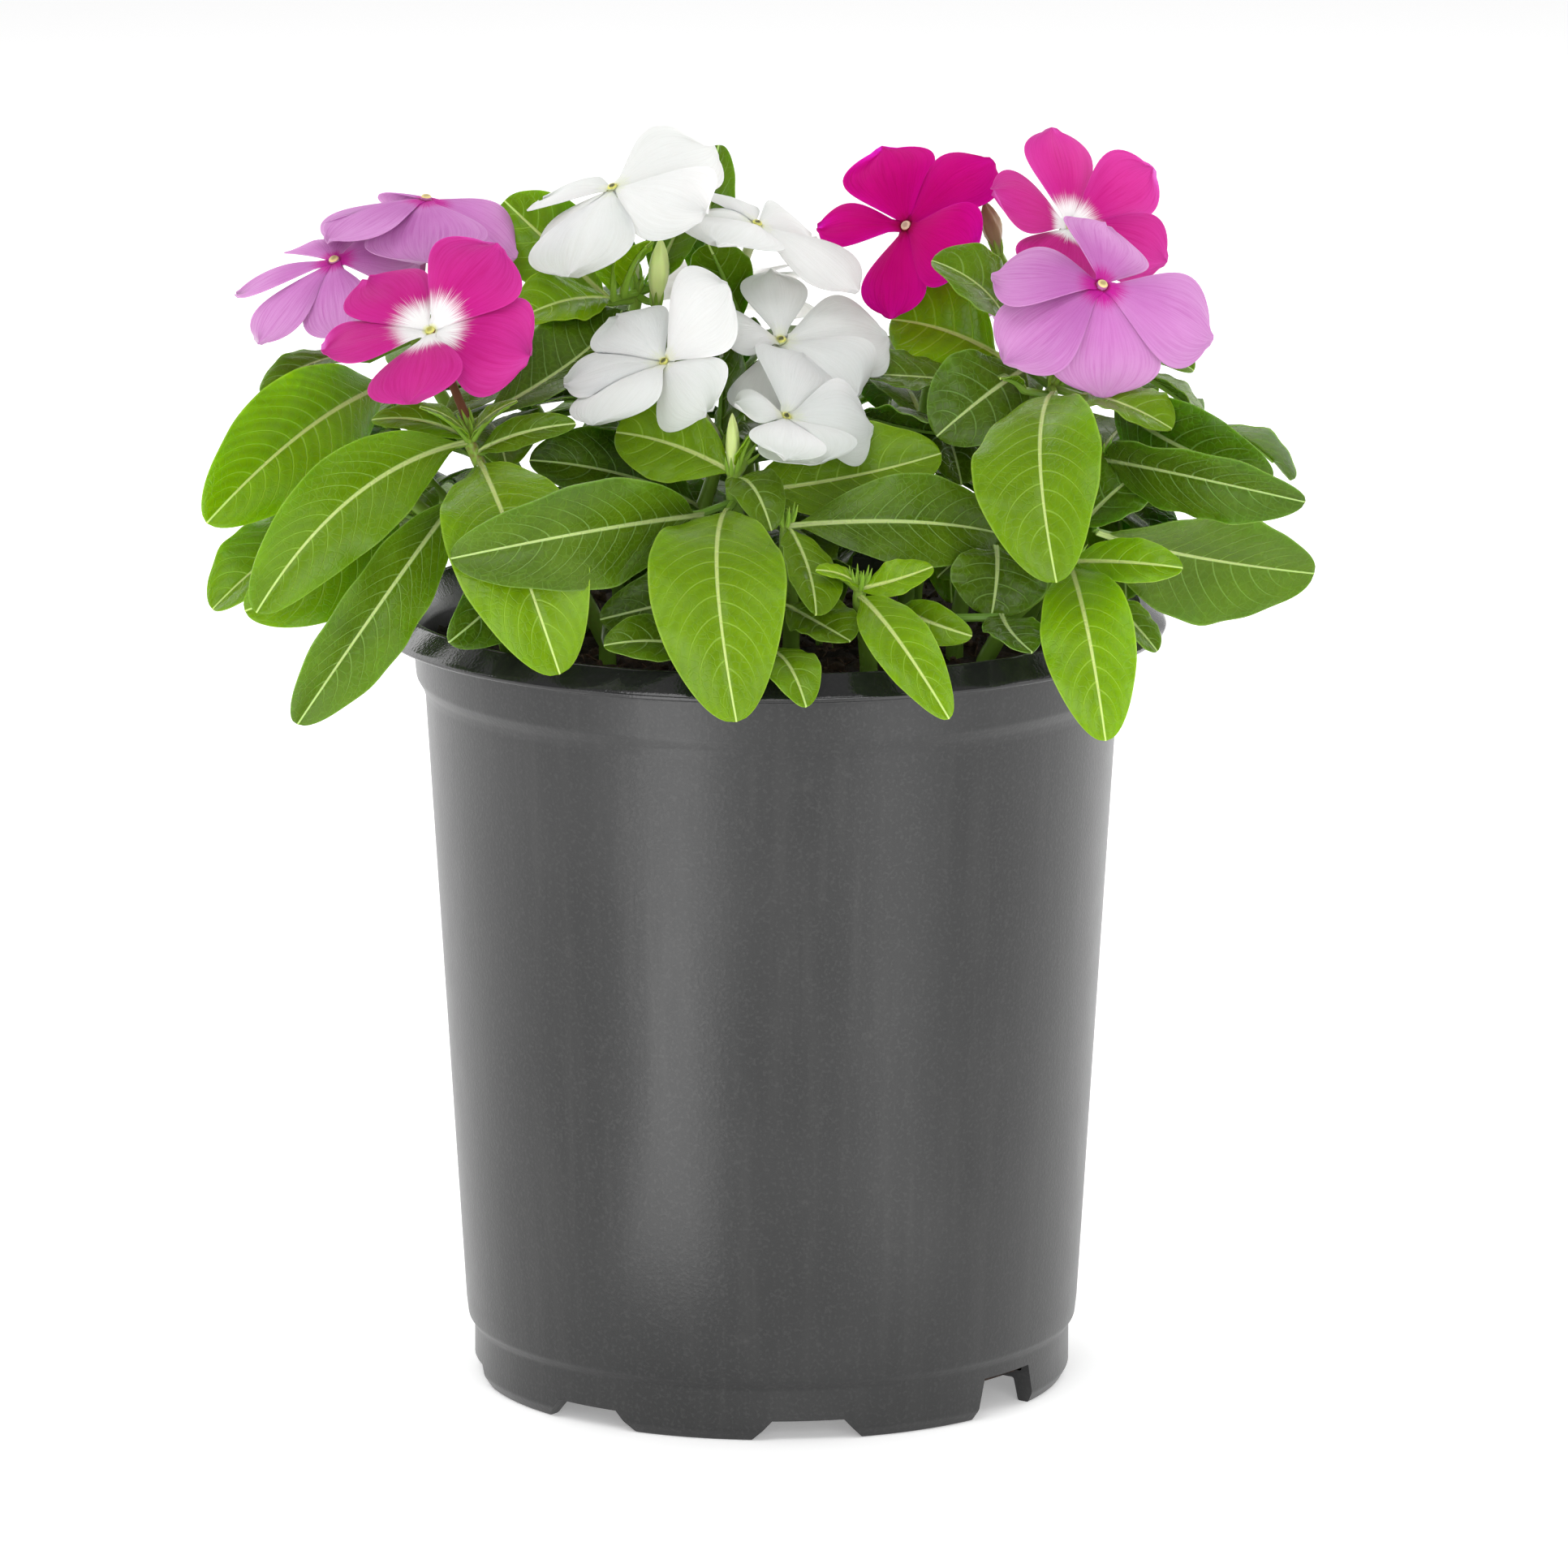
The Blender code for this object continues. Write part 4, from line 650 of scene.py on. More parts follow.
def ruled_blades(axis, rule, turned):
    """A leaf by rule at a share of the stem, then the same leaf swung, dropped and shortened ever more."""
    foot = along(axis, rule["share"])
    tries = []
    swings = (0, 12, -12, 24, -24, 38, -38, 55, -55)
    drops = (0, 14, -14, 28, -28, 42)
    for swing, drop, roll, shorter in product(swings, drops, (0, 25, -25), (1.0, 0.8, 0.62)):
        cost = abs(swing) / 12 + abs(drop) / 14 + abs(roll) / 20 + (1 - shorter) / 0.1
        tries.append((cost, swing, drop, roll, shorter))
    for _, swing, drop, roll, shorter in sorted(tries):
        azimuth = radians(rule["azimuth"] + turned + swing)
        fall = radians(rule["drop"] + drop)
        reach = vec(cos(azimuth) * cos(fall), sin(azimuth) * cos(fall), -sin(fall))
        length = rule["length"] * shorter
        root = foot - reach * ROOT_DEPTH
        yield {"foot": root, "base": root, "tip": foot + reach * (length + 3), "roll": roll, "bow": 0.0,
               "width": RULE_LEAF_WIDTH * length, "arch": RULE_LEAF_ARCH, "phase": rule["azimuth"] + turned,
               "small": True}


def settle_blade(owner, choices, placed, keep):
    """The first choice that is free, or with keep the first one of all, put in place."""
    first = None
    for blade in choices:
        first = first or blade
        if placed.free(owner, padded_tree(leaf_grid(blade, 1.0)), padded_tree(leaf_grid(blade, 0.8, 1))):
            break
    else:
        blade = first if keep else None
    if blade:
        placed.add(owner, sheet_tree(leaf_grid(blade)), sheet_tree(leaf_grid(blade, 0.0, 1)))
    return blade


def settle_petals(name, flower, placed):
    """Lifts or lowers each petal until it is clear of the stems and the other blooms."""
    lifts = list(flower["lifts"])
    flower["lifts"] = lifts
    for number in range(5):
        start = lifts[number]
        for change in (0, 6, -6, 12, -12, 18, -18, 24, -24, 32, -32, 40, -40):
            lifts[number] = start + change
            if placed.free(name, padded_tree(petal_grid(flower, number, 0.8)), None):
                break
        else:
            lifts[number] = start
    for number in range(5):
        placed.add(name, sheet_tree(petal_grid(flower, number)))


def flower_tube(flower):
    """Centre points and radii of the bloom's slender tube, from its calyx to the eye."""
    face, _, _ = bloom_axes(flower)
    eye = flower["eye"]
    calyx = flower["calyx"]
    bend = eye - face * 0.55 * (eye - calyx).length
    start = calyx + (bend - calyx).normalized() * CALYX_GAP
    points = [start * (1 - t) ** 2 + bend * 2 * t * (1 - t) + eye * t * t for t in (0.0, 0.3, 0.65, 0.93)]
    points.append(eye + face * 0.5)
    return points, [TUBE_RADIUS, TUBE_RADIUS * 0.9, TUBE_RADIUS, TUBE_RADIUS * 1.25, THROAT_RADIUS]


def calyx_branch(shoot, flower):
    """Centre points and radii of the short branch from inside the stem to the calyx of a bloom."""
    axis = stem_axis(shoot)
    calyx = flower["calyx"]
    tube, _ = flower_tube(flower)
    into = (tube[0] - calyx).normalized()
    foot = nearest(axis, calyx - into * 3)
    return [foot, foot.lerp(calyx - into * 2.4, 0.6), calyx - into * 1.8, calyx], [1.0, 1.0, 1.5, 1.15]


def stem_radii(count):
    return [STEM_RADIUS - STEM_TAPER * index / (count - 1) for index in range(count)]


def lip_tree():
    """The pot's lip and the soil as plain rings, for leaves to keep clear of."""
    rings = [(0.0, SOIL_Z + 1), (MOUTH_RADIUS - 1, SOIL_Z + 1), (MOUTH_RADIUS - 0.6, POT_HEIGHT + 0.3),
             (MOUTH_RADIUS + 1.5, POT_HEIGHT + 0.3), (LIP_RADIUS + 0.3, LIP_EDGE_Z),
             (BAND_RADIUS, BAND_TOP_Z), (STEP_RADIUS, STEP_Z), (STEP_RADIUS - 3, STEP_Z - 40)]
    verts = [(x, y, z) for radius, z in rings for x, y in circle(radius, LIP_TURNS)]
    return BVHTree.FromPolygons(verts, ring_faces(len(rings), LIP_TURNS))


def settled_plant():
    """The leaves of each shoot, with every leaf and petal bent clear of what was placed before it."""
    placed = Placed()
    placed.add("pot", lip_tree())
    for name, shoot in SHOOTS.items():
        axis = stem_axis(shoot)
        tubes = [tube_mesh(axis[1:], stem_radii(len(axis))[1:])]
        tubes += [bud_mesh(vec(*start), vec(*end), radius) for start, end, radius in shoot["buds"]]
        tubes += [tube_mesh(*calyx_branch(shoot, BLOOMS[bloom_name])) for bloom_name in shoot["blooms"]]
        for verts, faces in tubes:
            placed.add(name, BVHTree.FromPolygons(verts, faces))
    for name, flower in BLOOMS.items():
        placed.add(name, BVHTree.FromPolygons(*tube_mesh(*flower_tube(flower))))
    for name, flower in BLOOMS.items():
        settle_petals(name, flower, placed)
    leaves = {name: [] for name in SHOOTS}
    phase = 0.0
    for name, shoot in SHOOTS.items():
        axis = stem_axis(shoot)
        for blade in shoot["leaves"]:
            blade["foot"] = nearest(axis, blade["base"])
            if (blade["foot"] - blade["base"]).length < SHORT_PETIOLE:
                blade["foot"] -= (blade["tip"] - blade["foot"]).normalized() * ROOT_DEPTH
                blade["base"] = blade["foot"]
            phase += 2.4
            blade["phase"] = phase
            blade["small"] = (blade["tip"] - blade["base"]).length < SMALL_LEAF
            leaves[name].append(settle_blade(name, bent_blades(blade), placed, keep=True))
    for name, shoot in SHOOTS.items():
        axis = stem_axis(shoot)
        for rule in shoot["pairs"]:
            for turned in (0, 180):
                blade = settle_blade(name, ruled_blades(axis, rule, turned), placed, keep=False)
                if blade:
                    leaves[name].append(blade)
    return leaves


def bud_mesh(start, end, radius):
    """A pointed flower bud, widest above its middle."""
    stations = (0.0, 0.15, 0.3, 0.55, 0.8, 0.95, 1.0)
    shares = (0.45, 0.5, 0.85, 1.0, 0.7, 0.35, 0.12)
    return tube_mesh([start.lerp(end, t) for t in stations], [radius * share for share in shares])


def wall_radius(z):
    """The pot's outer radius at a height on its straight taper."""
    return BASE_RADIUS + (STEP_RADIUS - 0.2 - BASE_RADIUS) * (z - BASE_Z) / (STEP_Z - 1 - BASE_Z)


def pot_profile():
    """(radius, height) round the pot's wall: its floor, up the inside, over the lip, down the outside."""
    inside = [(0, FLOOR_TOP_Z), (60.5, FLOOR_TOP_Z), (wall_radius(BASE_Z) - WALL, BASE_Z),
              (STEP_RADIUS - 0.2 - WALL, STEP_Z - 1), (BAND_RADIUS - WALL, BAND_TOP_Z),
              (MOUTH_RADIUS, POT_HEIGHT)]
    lip = [(MOUTH_RADIUS + 1.0, POT_HEIGHT), (LIP_RADIUS - 0.5, LIP_EDGE_Z + 0.7), (LIP_RADIUS, LIP_EDGE_Z),
           (LIP_RADIUS - 0.4, LIP_EDGE_Z - 0.8), (BAND_RADIUS + 0.6, BAND_TOP_Z + 0.8)]
    outside = [(BAND_RADIUS, BAND_TOP_Z), (BAND_RADIUS - 0.7, STEP_Z + 3),
               (STEP_RADIUS + 0.3, STEP_Z + 0.6), (STEP_RADIUS - 0.2, STEP_Z - 1),
               (BASE_RADIUS, BASE_Z), (BASE_RADIUS - 0.4, 13.0), (FOOT_RADIUS, 11.2), (FOOT_RADIUS, 2.4),
               (FOOT_RADIUS - 1.4, 0)]
    foot = [(FOOT_INNER_RADIUS, 0), (FOOT_INNER_RADIUS - 0.4, FLOOR_Z), (0, FLOOR_Z)]
    return inside + lip + outside + foot


def notch_size(number):
    """(width at the ground, width at its top, height) of one of the foot's drain notches."""
    if number in DEEP_NOTCHES:
        return DEEP_NOTCH_WIDTH, DEEP_NOTCH_TOP_WIDTH, DEEP_NOTCH_HEIGHT
    return NOTCH_WIDTH, NOTCH_TOP_WIDTH, NOTCH_HEIGHT


def soil_height(x, y):
    """The potting mix's uneven surface, from a few crossing waves."""
    waves = sin(0.31 * x + 1.2) * cos(0.27 * y - 0.5)
    waves += 0.7 * sin(0.63 * x - 0.4 * y) + 0.5 * cos(0.9 * y + 0.35 * x)
    return SOIL_Z + SOIL_WAVE * waves


def soil_side():
    """(radius, height) of the soil's lower rings, from the foot of its side to under its top."""
    return [(SOIL_FOOT_RADIUS, FLOOR_TOP_Z + SOIL_GAP), (wall_radius(BASE_Z) - WALL - SOIL_GAP, BASE_Z),
            (STEP_RADIUS - SOIL_STEP_INSET - WALL - SOIL_GAP, STEP_Z - 1),
            (BAND_RADIUS - SOIL_BAND_INSET - WALL - SOIL_GAP, SOIL_Z - 4)]


# Fine shapes: counts, shares and millimetres
STALK_SIDES = 9
BLADE_ROWS = 40
BLADE_COLUMNS = 17
PLAIN_ROWS = 26
PLAIN_COLUMNS = 13
BLADE_CROWD = 1.35
BLADE_EDGE = 0.22
BLADE_MIDDLE = 0.5
BLADE_BULGE = 0.16
QUILT = 0.26
VEIN_SWEEP = 0.24
VEIN_CURVE = 1.5
VEIN_SPACING = 4.3
VEIN_SHIFT = 0.35
FINE_WAVE = 0.018
FINE_WAVES_ALONG = 5.3
BUD_SIDES = 20
PETAL_ROWS = 22
PETAL_COLUMNS = 17
PETAL_CROWD = 1.7
PETAL_EDGE = 0.2
PETAL_MIDDLE = 0.42
PETAL_POINT = 0.7
TUBE_SIDES = 16
POT_TURNS = 160
SOIL_TURNS = 144
SOIL_TOP_RINGS = 46
SOIL_SEED = 11
CRUMBS = 900
FIBRES = 150
LIP_TURNS = 48

# The corners of a square, for the floor and for the notches
CORNERS = ((-1, -1), (1, -1), (1, 1), (-1, 1))

# Studio: how bright the white room is in front and behind, the key light from the upper left, and
# the floor's glow and how far it reaches, in metres
FRONT_LIGHT = 0.30
BACK_LIGHT = 0.58
KEY_LIGHT = 0.8
KEY_SOFTNESS = 32.0
FLOOR_GLOW = 0.27
FLOOR_REACH = 9.0
KEY_FROM = (-0.45, -0.75, 1.15)

# Soft boxes: name, watts, width, height, place and the point it is turned to, in metres
SOFT_BOXES = (
    ("left_softbox", 12.0, 1.5, 1.2, (-1.15, 0.8, 0.45), (0, 0, 0.12)),
    ("right_softbox", 12.0, 1.5, 1.2, (1.15, 0.8, 0.45), (0, 0, 0.12)),
    ("back_softbox", 5.0, 1.6, 0.5, (0.0, 0.95, 1.05), (0, 0, 0.2)),
    ("left_strip", 1.6, 0.22, 1.0, (-1.25, -0.95, 0.25), (0, 0, 0.1)),
    ("right_strip", 1.6, 0.22, 1.0, (1.45, -0.35, 0.25), (0, 0, 0.1)),
    ("front_box", 3.0, 1.3, 0.25, (0.35, -1.0, 1.5), (0, 0, 0.15)),
    ("front_fill", 25.0, 1.8, 1.0, (0.3, -2.2, 0.7), (0, 0, 0.2)),
    ("left_near_card", 0.08, 0.07, 0.16, (-0.10, -0.178, 0.02), (0, 0, 2.0)),
    ("left_far_card", 0.60, 0.18, 0.46, (-0.26, -0.445, 0.058), (0, 0, 2.6)),
    ("right_near_card", 0.03, 0.07, 0.16, (0.126, -0.160, 0.02), (0, 0, 2.0)),
    ("right_far_card", 0.30, 0.18, 0.46, (0.318, -0.405, 0.058), (0, 0, 2.6)),
)

# Camera of the photograph: its place in metres, its lens and its sensor in millimetres
CAMERA_PLACE = (0.0026, -2.7361, 0.7034)
CAMERA_LENS = 306.8
CAMERA_SENSOR = 36.0


def unit_rows(rows):
    return rows / np.maximum(np.linalg.norm(rows, axis=-1, keepdims=True), 1e-9)


def smooth_step(low, high, x):
    t = np.clip((x - low) / (high - low), 0, 1)
    return t * t * (3 - 2 * t)


def add_object(name, data):
    made = bpy.data.objects.new(name, data)
    bpy.context.scene.collection.objects.link(made)
    return made


def turned_to(thing, direction):
    """Turns a lamp to shine in a direction."""
    thing.rotation_euler = direction.to_track_quat("-Z", "Y").to_euler()


class Piece:
    """Collects closed shells with their point attributes, then makes one mesh object of them."""

    def __init__(self, attributes):
        self.points = []
        self.faces = []
        self.values = {name: [] for name in attributes}
        self.count = 0

    def add(self, points, faces, **values):
        points = np.asarray(points, float).reshape(-1, 3)
        self.points.append(points)
        self.faces += [[index + self.count for index in face] for face in faces]
        for name, rows in self.values.items():
            rows.append(np.broadcast_to(np.asarray(values.get(name, 0.0), float), (len(points),)))
        self.count += len(points)

    def make(self, name, material, sharp=50):
        mesh = bpy.data.meshes.new(name)
        mesh.from_pydata((np.concatenate(self.points) * MM).tolist(), [], self.faces)
        for attribute, rows in self.values.items():
            layer = mesh.attributes.new(attribute, "FLOAT", "POINT")
            layer.data.foreach_set("value", np.concatenate(rows).astype(np.float32))
        mesh.polygons.foreach_set("use_smooth", [True] * len(mesh.polygons))
        mesh.materials.append(material)
        mesh.update()
        mesh.set_sharp_from_angle(angle=radians(sharp))
        return add_object(name, mesh)


@lru_cache
def shell_faces(rows, columns):
    """Faces of a thin closed shell: an upper grid and its tip, a lower grid and its tip, and their rim."""
    grid = rows * columns
    under = grid + 1
    faces = []
    for row in range(rows - 1):
        for column in range(columns - 1):
            a = row * columns + column
            b = a + columns
            faces.append((a, a + 1, b + 1, b))
            faces.append((under + b, under + b + 1, under + a + 1, under + a))
    for a in range(grid - columns, grid - 1):
        faces.append((a, a + 1, grid))
        faces.append((under + grid, under + a + 1, under + a))
    rim = list(range(columns - 1, -1, -1)) + [row * columns for row in range(1, rows)] + [grid]
    rim += [row * columns + columns - 1 for row in range(rows - 1, 0, -1)]
    for a, b in zip(rim, rim[1:] + rim[:1]):
        faces.append((a, b, under + b, under + a))
    return faces


def add_shell(piece, points, normals, thick, rows, columns, **values):
    """Adds a thin shell round a grid of points and its tip."""
    half = normals * thick[:, None] / 2
    both = {name: np.concatenate([value, value]) if np.ndim(value) else value
            for name, value in values.items()}
    piece.add(np.concatenate([points + half, points - half]), shell_faces(rows, columns), **both)


def grid_of(rows, columns, crowd):
    """(along, across) of a grid's points and its tip, with rows crowded towards the tip."""
    along = 1 - (1 - np.linspace(0, 1, rows + 1)[:-1]) ** crowd
    across = np.linspace(-1, 1, columns)
    across = np.sign(across) * np.abs(across) ** 0.85
    u, v = np.meshgrid(along, across, indexing="ij")
    return np.append(u.ravel(), 1.0), np.append(v.ravel(), 0.0)


def blade_surface(blade, u, v):
    """(points, normals, half widths) of the blade's middle surface, with waves, bulges and vein grooves."""
    base = np.array(blade["base"])
    tip = np.array(blade["tip"])
    _, side, up = (np.array(axis) for axis in leaf_frame(blade))
    length = np.linalg.norm(tip - base)
    width = blade["width"]
    middle = (base + tip) / 2 + (up * blade["arch"] + side * blade["bow"]) * 2 * length
    t = u[:, None]
    centre = base * (1 - t) ** 2 + middle * 2 * t * (1 - t) + tip * t * t
    ahead = unit_rows((middle - base) * (1 - t) + (tip - middle) * t)
    across = unit_rows(side - ahead * np.sum(ahead * side, axis=-1, keepdims=True))
    normal = np.cross(across, ahead)
    half = leaf_half_width(u, width, 0.36 * PETIOLE_WIDTH)
    a = np.abs(v)
    swell = np.sin(pi * u)
    wave = leaf_wave(blade, u, v)
    wave += FINE_WAVE * v**4 * np.sin(2 * pi * FINE_WAVES_ALONG * u + 2.1 * blade["phase"] + 2 * v)
    turn = vein_count(blade) * (u - VEIN_SWEEP * a**VEIN_CURVE) + VEIN_SHIFT * (v > 0)
    grooves = 0.5 - 0.5 * np.cos(2 * pi * turn)
    fade = smooth_step(0.04, 0.3, a) * (1 - smooth_step(0.7, 1.0, a)) * swell ** 0.5
    quilt = QUILT * min(1.0, width / 16) * grooves * fade
    bulge = BLADE_BULGE * half * a * (1 - a)
    height = a * half * sin(radians(LEAF_FOLD)) + wave * width * swell + bulge + quilt
    points = centre + across * (v * half * cos(radians(LEAF_FOLD)))[:, None] + normal * height[:, None]
    return points, normal, half


def vein_count(blade):
    length = (blade["tip"] - blade["base"]).length
    return max(5.0, round(length / VEIN_SPACING))


def add_blade(piece, blade, tone, fine=True):
    """A leaf: its thin blade, a raised midrib under it and its petiole."""
    rows, columns = (BLADE_ROWS, BLADE_COLUMNS) if fine else (PLAIN_ROWS, PLAIN_COLUMNS)
    u, v = grid_of(rows, columns, BLADE_CROWD)
    points, normals, half = blade_surface(blade, u, v)
    thick = BLADE_EDGE + (BLADE_MIDDLE - BLADE_EDGE) * (1 - np.abs(v) ** 3) * (u < 1)
    add_shell(piece, points, normals, thick, rows, columns, along=u, across=v, offset=np.abs(v) * half,
              tone=tone, veins=vein_count(blade))
    rib_u = np.linspace(0.0, 0.86, 12)
    rib, rib_normals, _ = blade_surface(blade, rib_u, rib_u * 0)
    rib = rib - rib_normals * (0.25 + 0.25 * (1 - rib_u))[:, None]
    path = [Vector(point) for point in rib]
    radii = list(0.25 + 0.6 * (1 - rib_u) ** 1.2)
    if (blade["foot"] - blade["base"]).length > 1:
        path = [blade["foot"], blade["foot"].lerp(path[0], 0.5)] + path
        radii = [1.0, 0.85] + radii
    add_tube(piece, path, radii, 7, tone=tone, kind=0.5)


def add_tube(piece, path, radii, sides, **values):
    points, faces = tube_mesh(path, radii, sides)
    piece.add([tuple(point) for point in points], faces, **values)


def add_spikes(piece, centre, direction, count, length, spread, tone, turn=0.0):
    """Thin pointed bracts round a stem's end or under a bloom."""
    side = direction.orthogonal().normalized()
    across = direction.cross(side)
    for number in range(count):
        angle = turn + 2 * pi * number / count
        out = side * cos(angle) + across * sin(angle)
        reach = (direction + out * spread).normalized()
        start = centre + out * 0.5
        path = [start, start + reach * length * 0.35]
        path += [start + (reach + direction * bend).normalized() * length * share
                 for bend, share in ((0.12, 0.7), (0.3, 1.0))]
        add_tube(piece, path, [0.45, 0.5, 0.32, 0.06], 5, tone=tone, kind=1.0)


def fine_stem(shoot):
    """(points, radii) of the stem's smooth line, a little thicker where its leaves leave it."""
    path = stem_axis(shoot, 6, 22)
    shares = np.linspace(0, 1, len(path))
    radii = STEM_RADIUS - STEM_TAPER * shares
    for rule in shoot["pairs"]:
        radii = radii + 0.35 * np.exp(-(((shares - rule["share"]) / 0.035) ** 2))
    return path, list(radii)


def finer(radii, count=10):
    """The four radii spread over more points of a tube."""
    return list(np.interp(np.linspace(0, 3, count), range(4), radii))


def build_shoot(name, shoot, blades, material):
    """A leafy stem with its leaves, its buds, the bracts at its end, and the calyxes of its blooms."""
    piece = Piece(("along", "across", "offset", "tone", "veins", "kind", "blush"))
    path, radii = fine_stem(shoot)
    tones = shoot["tones"]
    blush = 0.8 if "magenta" in " ".join(shoot["blooms"]) else 0.15
    rise = np.repeat(np.linspace(0, 1, len(path)), STALK_SIDES)
    add_tube(piece, path, radii, STALK_SIDES, tone=0.35 + 0.35 * rise, kind=1.0, blush=blush * rise)
    for number, blade in enumerate(blades):
        tone = tones[min(number, len(tones) - 1)]
        if number >= len(tones):
            tone += 0.12 * sin(2.3 * number + len(name))
        add_blade(piece, blade, tone, fine=number < len(shoot["leaves"]))
    top = path[-1]
    ahead = (path[-1] - path[-4]).normalized()
    add_spikes(piece, top - ahead * 0.8, ahead, count=6, length=6.0, spread=0.45, tone=0.85)
    add_spikes(piece, top - ahead * 0.4, ahead, count=3, length=4.2, spread=0.12, tone=0.95, turn=0.6)
    for start, end, radius in shoot["buds"]:
        build_bud(piece, vec(*start), vec(*end), radius, path, old=name == "stem_far_right")
    for bloom_name in shoot["blooms"]:
        flower = BLOOMS[bloom_name]
        branch, thick = calyx_branch(shoot, flower)
        pink = 0.9 if flower["colour"] in ("magenta", "crimson") else 0.25
        add_tube(piece, smooth_path(branch, 10), finer(thick), 8, tone=0.55, kind=1.0, blush=pink * 0.6)
        tube, _ = flower_tube(flower)
        out = (tube[1] - tube[0]).normalized()
        add_spikes(piece, branch[-1] - out * 1.2, out, count=5, length=5.0, spread=0.28, tone=0.7)
    made = piece.make(name.replace("stem", "leafy_stem"), material)
    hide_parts(name)
    return made


def build_bud(piece, start, end, radius, path, old):
    """A pointed bud with twisted ribs where its furled petals meet. An old one is withered and brown."""
    axis = (end - start).normalized()
    side = axis.orthogonal().normalized()
    across = axis.cross(side)
    foot = nearest(path, start)
    stalk = [foot, foot.lerp(start, 0.5), start.lerp(end, 0.06)]
    add_tube(piece, stalk, [0.85, 0.8, 0.75], 8, tone=0.7, kind=1.0)
    stations = (0.02, 0.06, 0.14, 0.24, 0.36, 0.5, 0.62, 0.74, 0.84, 0.92, 0.97, 1.0)
    shares = (0.45, 0.5, 0.55, 0.72, 0.92, 1.0, 0.96, 0.8, 0.58, 0.36, 0.18, 0.06)
    length = (end - start).length
    points = []
    for station, share in zip(stations, shares):
        for number in range(BUD_SIDES):
            angle = 2 * pi * number / BUD_SIDES
            rib = 1 + 0.12 * cos(5 * angle + 5.5 * station) * (0.3 + station) * (1.6 if old else 1)
            out = side * cos(angle) + across * sin(angle)
            points.append(tuple(start + axis * station * length + out * radius * share * rib))
    piece.add(points, tube_faces(len(stations), BUD_SIDES), tone=0.4 if old else 1.0, kind=2.0,
              blush=1.0 if old else 0.0, along=np.repeat(stations, BUD_SIDES))
    add_spikes(piece, start - axis * 0.4, axis, count=5, length=4.5, spread=0.3, tone=0.8)


def petal_surface(flower, number, t, v):
    """(points, normals) of a petal's middle surface, cupped across and softly waved at its end."""
    ahead, side, normal, length, width = (np.array(value) for value in petal_axes(flower, number))
    radius = flower["radius"]
    half = petal_half_width(t, width)
    tilt = radians(PETAL_TILT)
    phase = 1.7 * number + flower["spin"] * 0.05
    reach = PETAL_ROOT + t * (length - PETAL_ROOT) + PETAL_POINT * smooth_step(0.985, 1.0, t)
    wave = 0.035 * np.sin(2.2 * v + phase) * v * smooth_step(0.35, 0.95, t)
    wave += 0.02 * np.sin(5.2 * v + 2 * phase) * smooth_step(0.55, 1.0, t)
    dome = 0.05 * radius * (0.45 - v * v)
    groove = -0.25 * np.exp(-((v / 0.12) ** 2))
    height = (PETAL_CUP + dome + groove) * np.sin(pi * t) - PETAL_SINK + wave * radius
    sweep = PETAL_SWEEP * length * t
    centre = np.array(flower["eye"]) + ahead * reach[:, None] + side * sweep[:, None]
    centre += normal * height[:, None]
    across = side * cos(tilt) + normal * sin(tilt) + ahead * (PETAL_SLANT * t)[:, None]
    return centre + across * (v * half)[:, None], normal * cos(tilt) - side * sin(tilt)


# Blooms whose star round the eye is smaller than their colour's usual one
STARS = {"bloom_magenta_right": 1.3, "bloom_lilac_left": 1.15}


def build_bloom(name, flower, material):
    """A bloom: five thin petals round a small raised eye, and the slender tube under it."""
    piece = Piece(("reach", "across", "along", "kind", "petal"))
    eye = flower["eye"]
    for number in range(5):
        u, v = grid_of(PETAL_ROWS, PETAL_COLUMNS, PETAL_CROWD)
        t = 0.03 + 0.97 * u
        points, normals = petal_surface(flower, number, t, v)
        thick = PETAL_EDGE + (PETAL_MIDDLE - PETAL_EDGE) * (1 - v * v) * (1 - t * t)
        reach = np.linalg.norm(points - np.array(eye), axis=1) * STARS.get(name, 1.0)
        add_shell(piece, points, normals, thick, PETAL_ROWS, PETAL_COLUMNS, reach=reach, across=v, along=t,
                  petal=number + 0.37 * (flower["spin"] % 7))
    path, radii = flower_tube(flower)
    face = (path[-1] - path[-2]).normalized()
    line = smooth_path(path[:-1], 10) + [eye + face * step for step in (0.1, 0.4, 0.55, 0.5, 0.1, -0.7)]
    thick = finer(radii[:-1]) + [1.15, 0.95, 0.8, 0.6, 0.45, 0.4]
    kinds = np.repeat([1.0] * 10 + [1.2, 2.0, 2.0, 2.0, 3.0, 3.0], TUBE_SIDES)
    shares = np.repeat(np.linspace(0, 1, 16), TUBE_SIDES)
    add_tube(piece, line, thick, TUBE_SIDES, kind=kinds, reach=1.0, along=shares)
    made = piece.make(name.replace("bloom", "petals"), material)
    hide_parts(name)
    return made


class Value:
    """What a material's nodes work out at each point, with the signs of plain arithmetic."""

    def __init__(self, shader, socket):
        self.shader = shader
        self.socket = socket

    def __add__(self, other):
        return self.shader.math("ADD", self, other)

    def __sub__(self, other):
        return self.shader.math("SUBTRACT", self, other)

    def __rsub__(self, other):
        return self.shader.math("SUBTRACT", other, self)

    def __mul__(self, other):
        return self.shader.math("MULTIPLY", self, other)

    def __pow__(self, other):
        return self.shader.math("POWER", self, other)

    def __gt__(self, other):
        return self.shader.math("GREATER_THAN", self, other)

    def __lt__(self, other):
        return self.shader.math("LESS_THAN", self, other)

    def __abs__(self):
        return self.shader.math("ABSOLUTE", self)


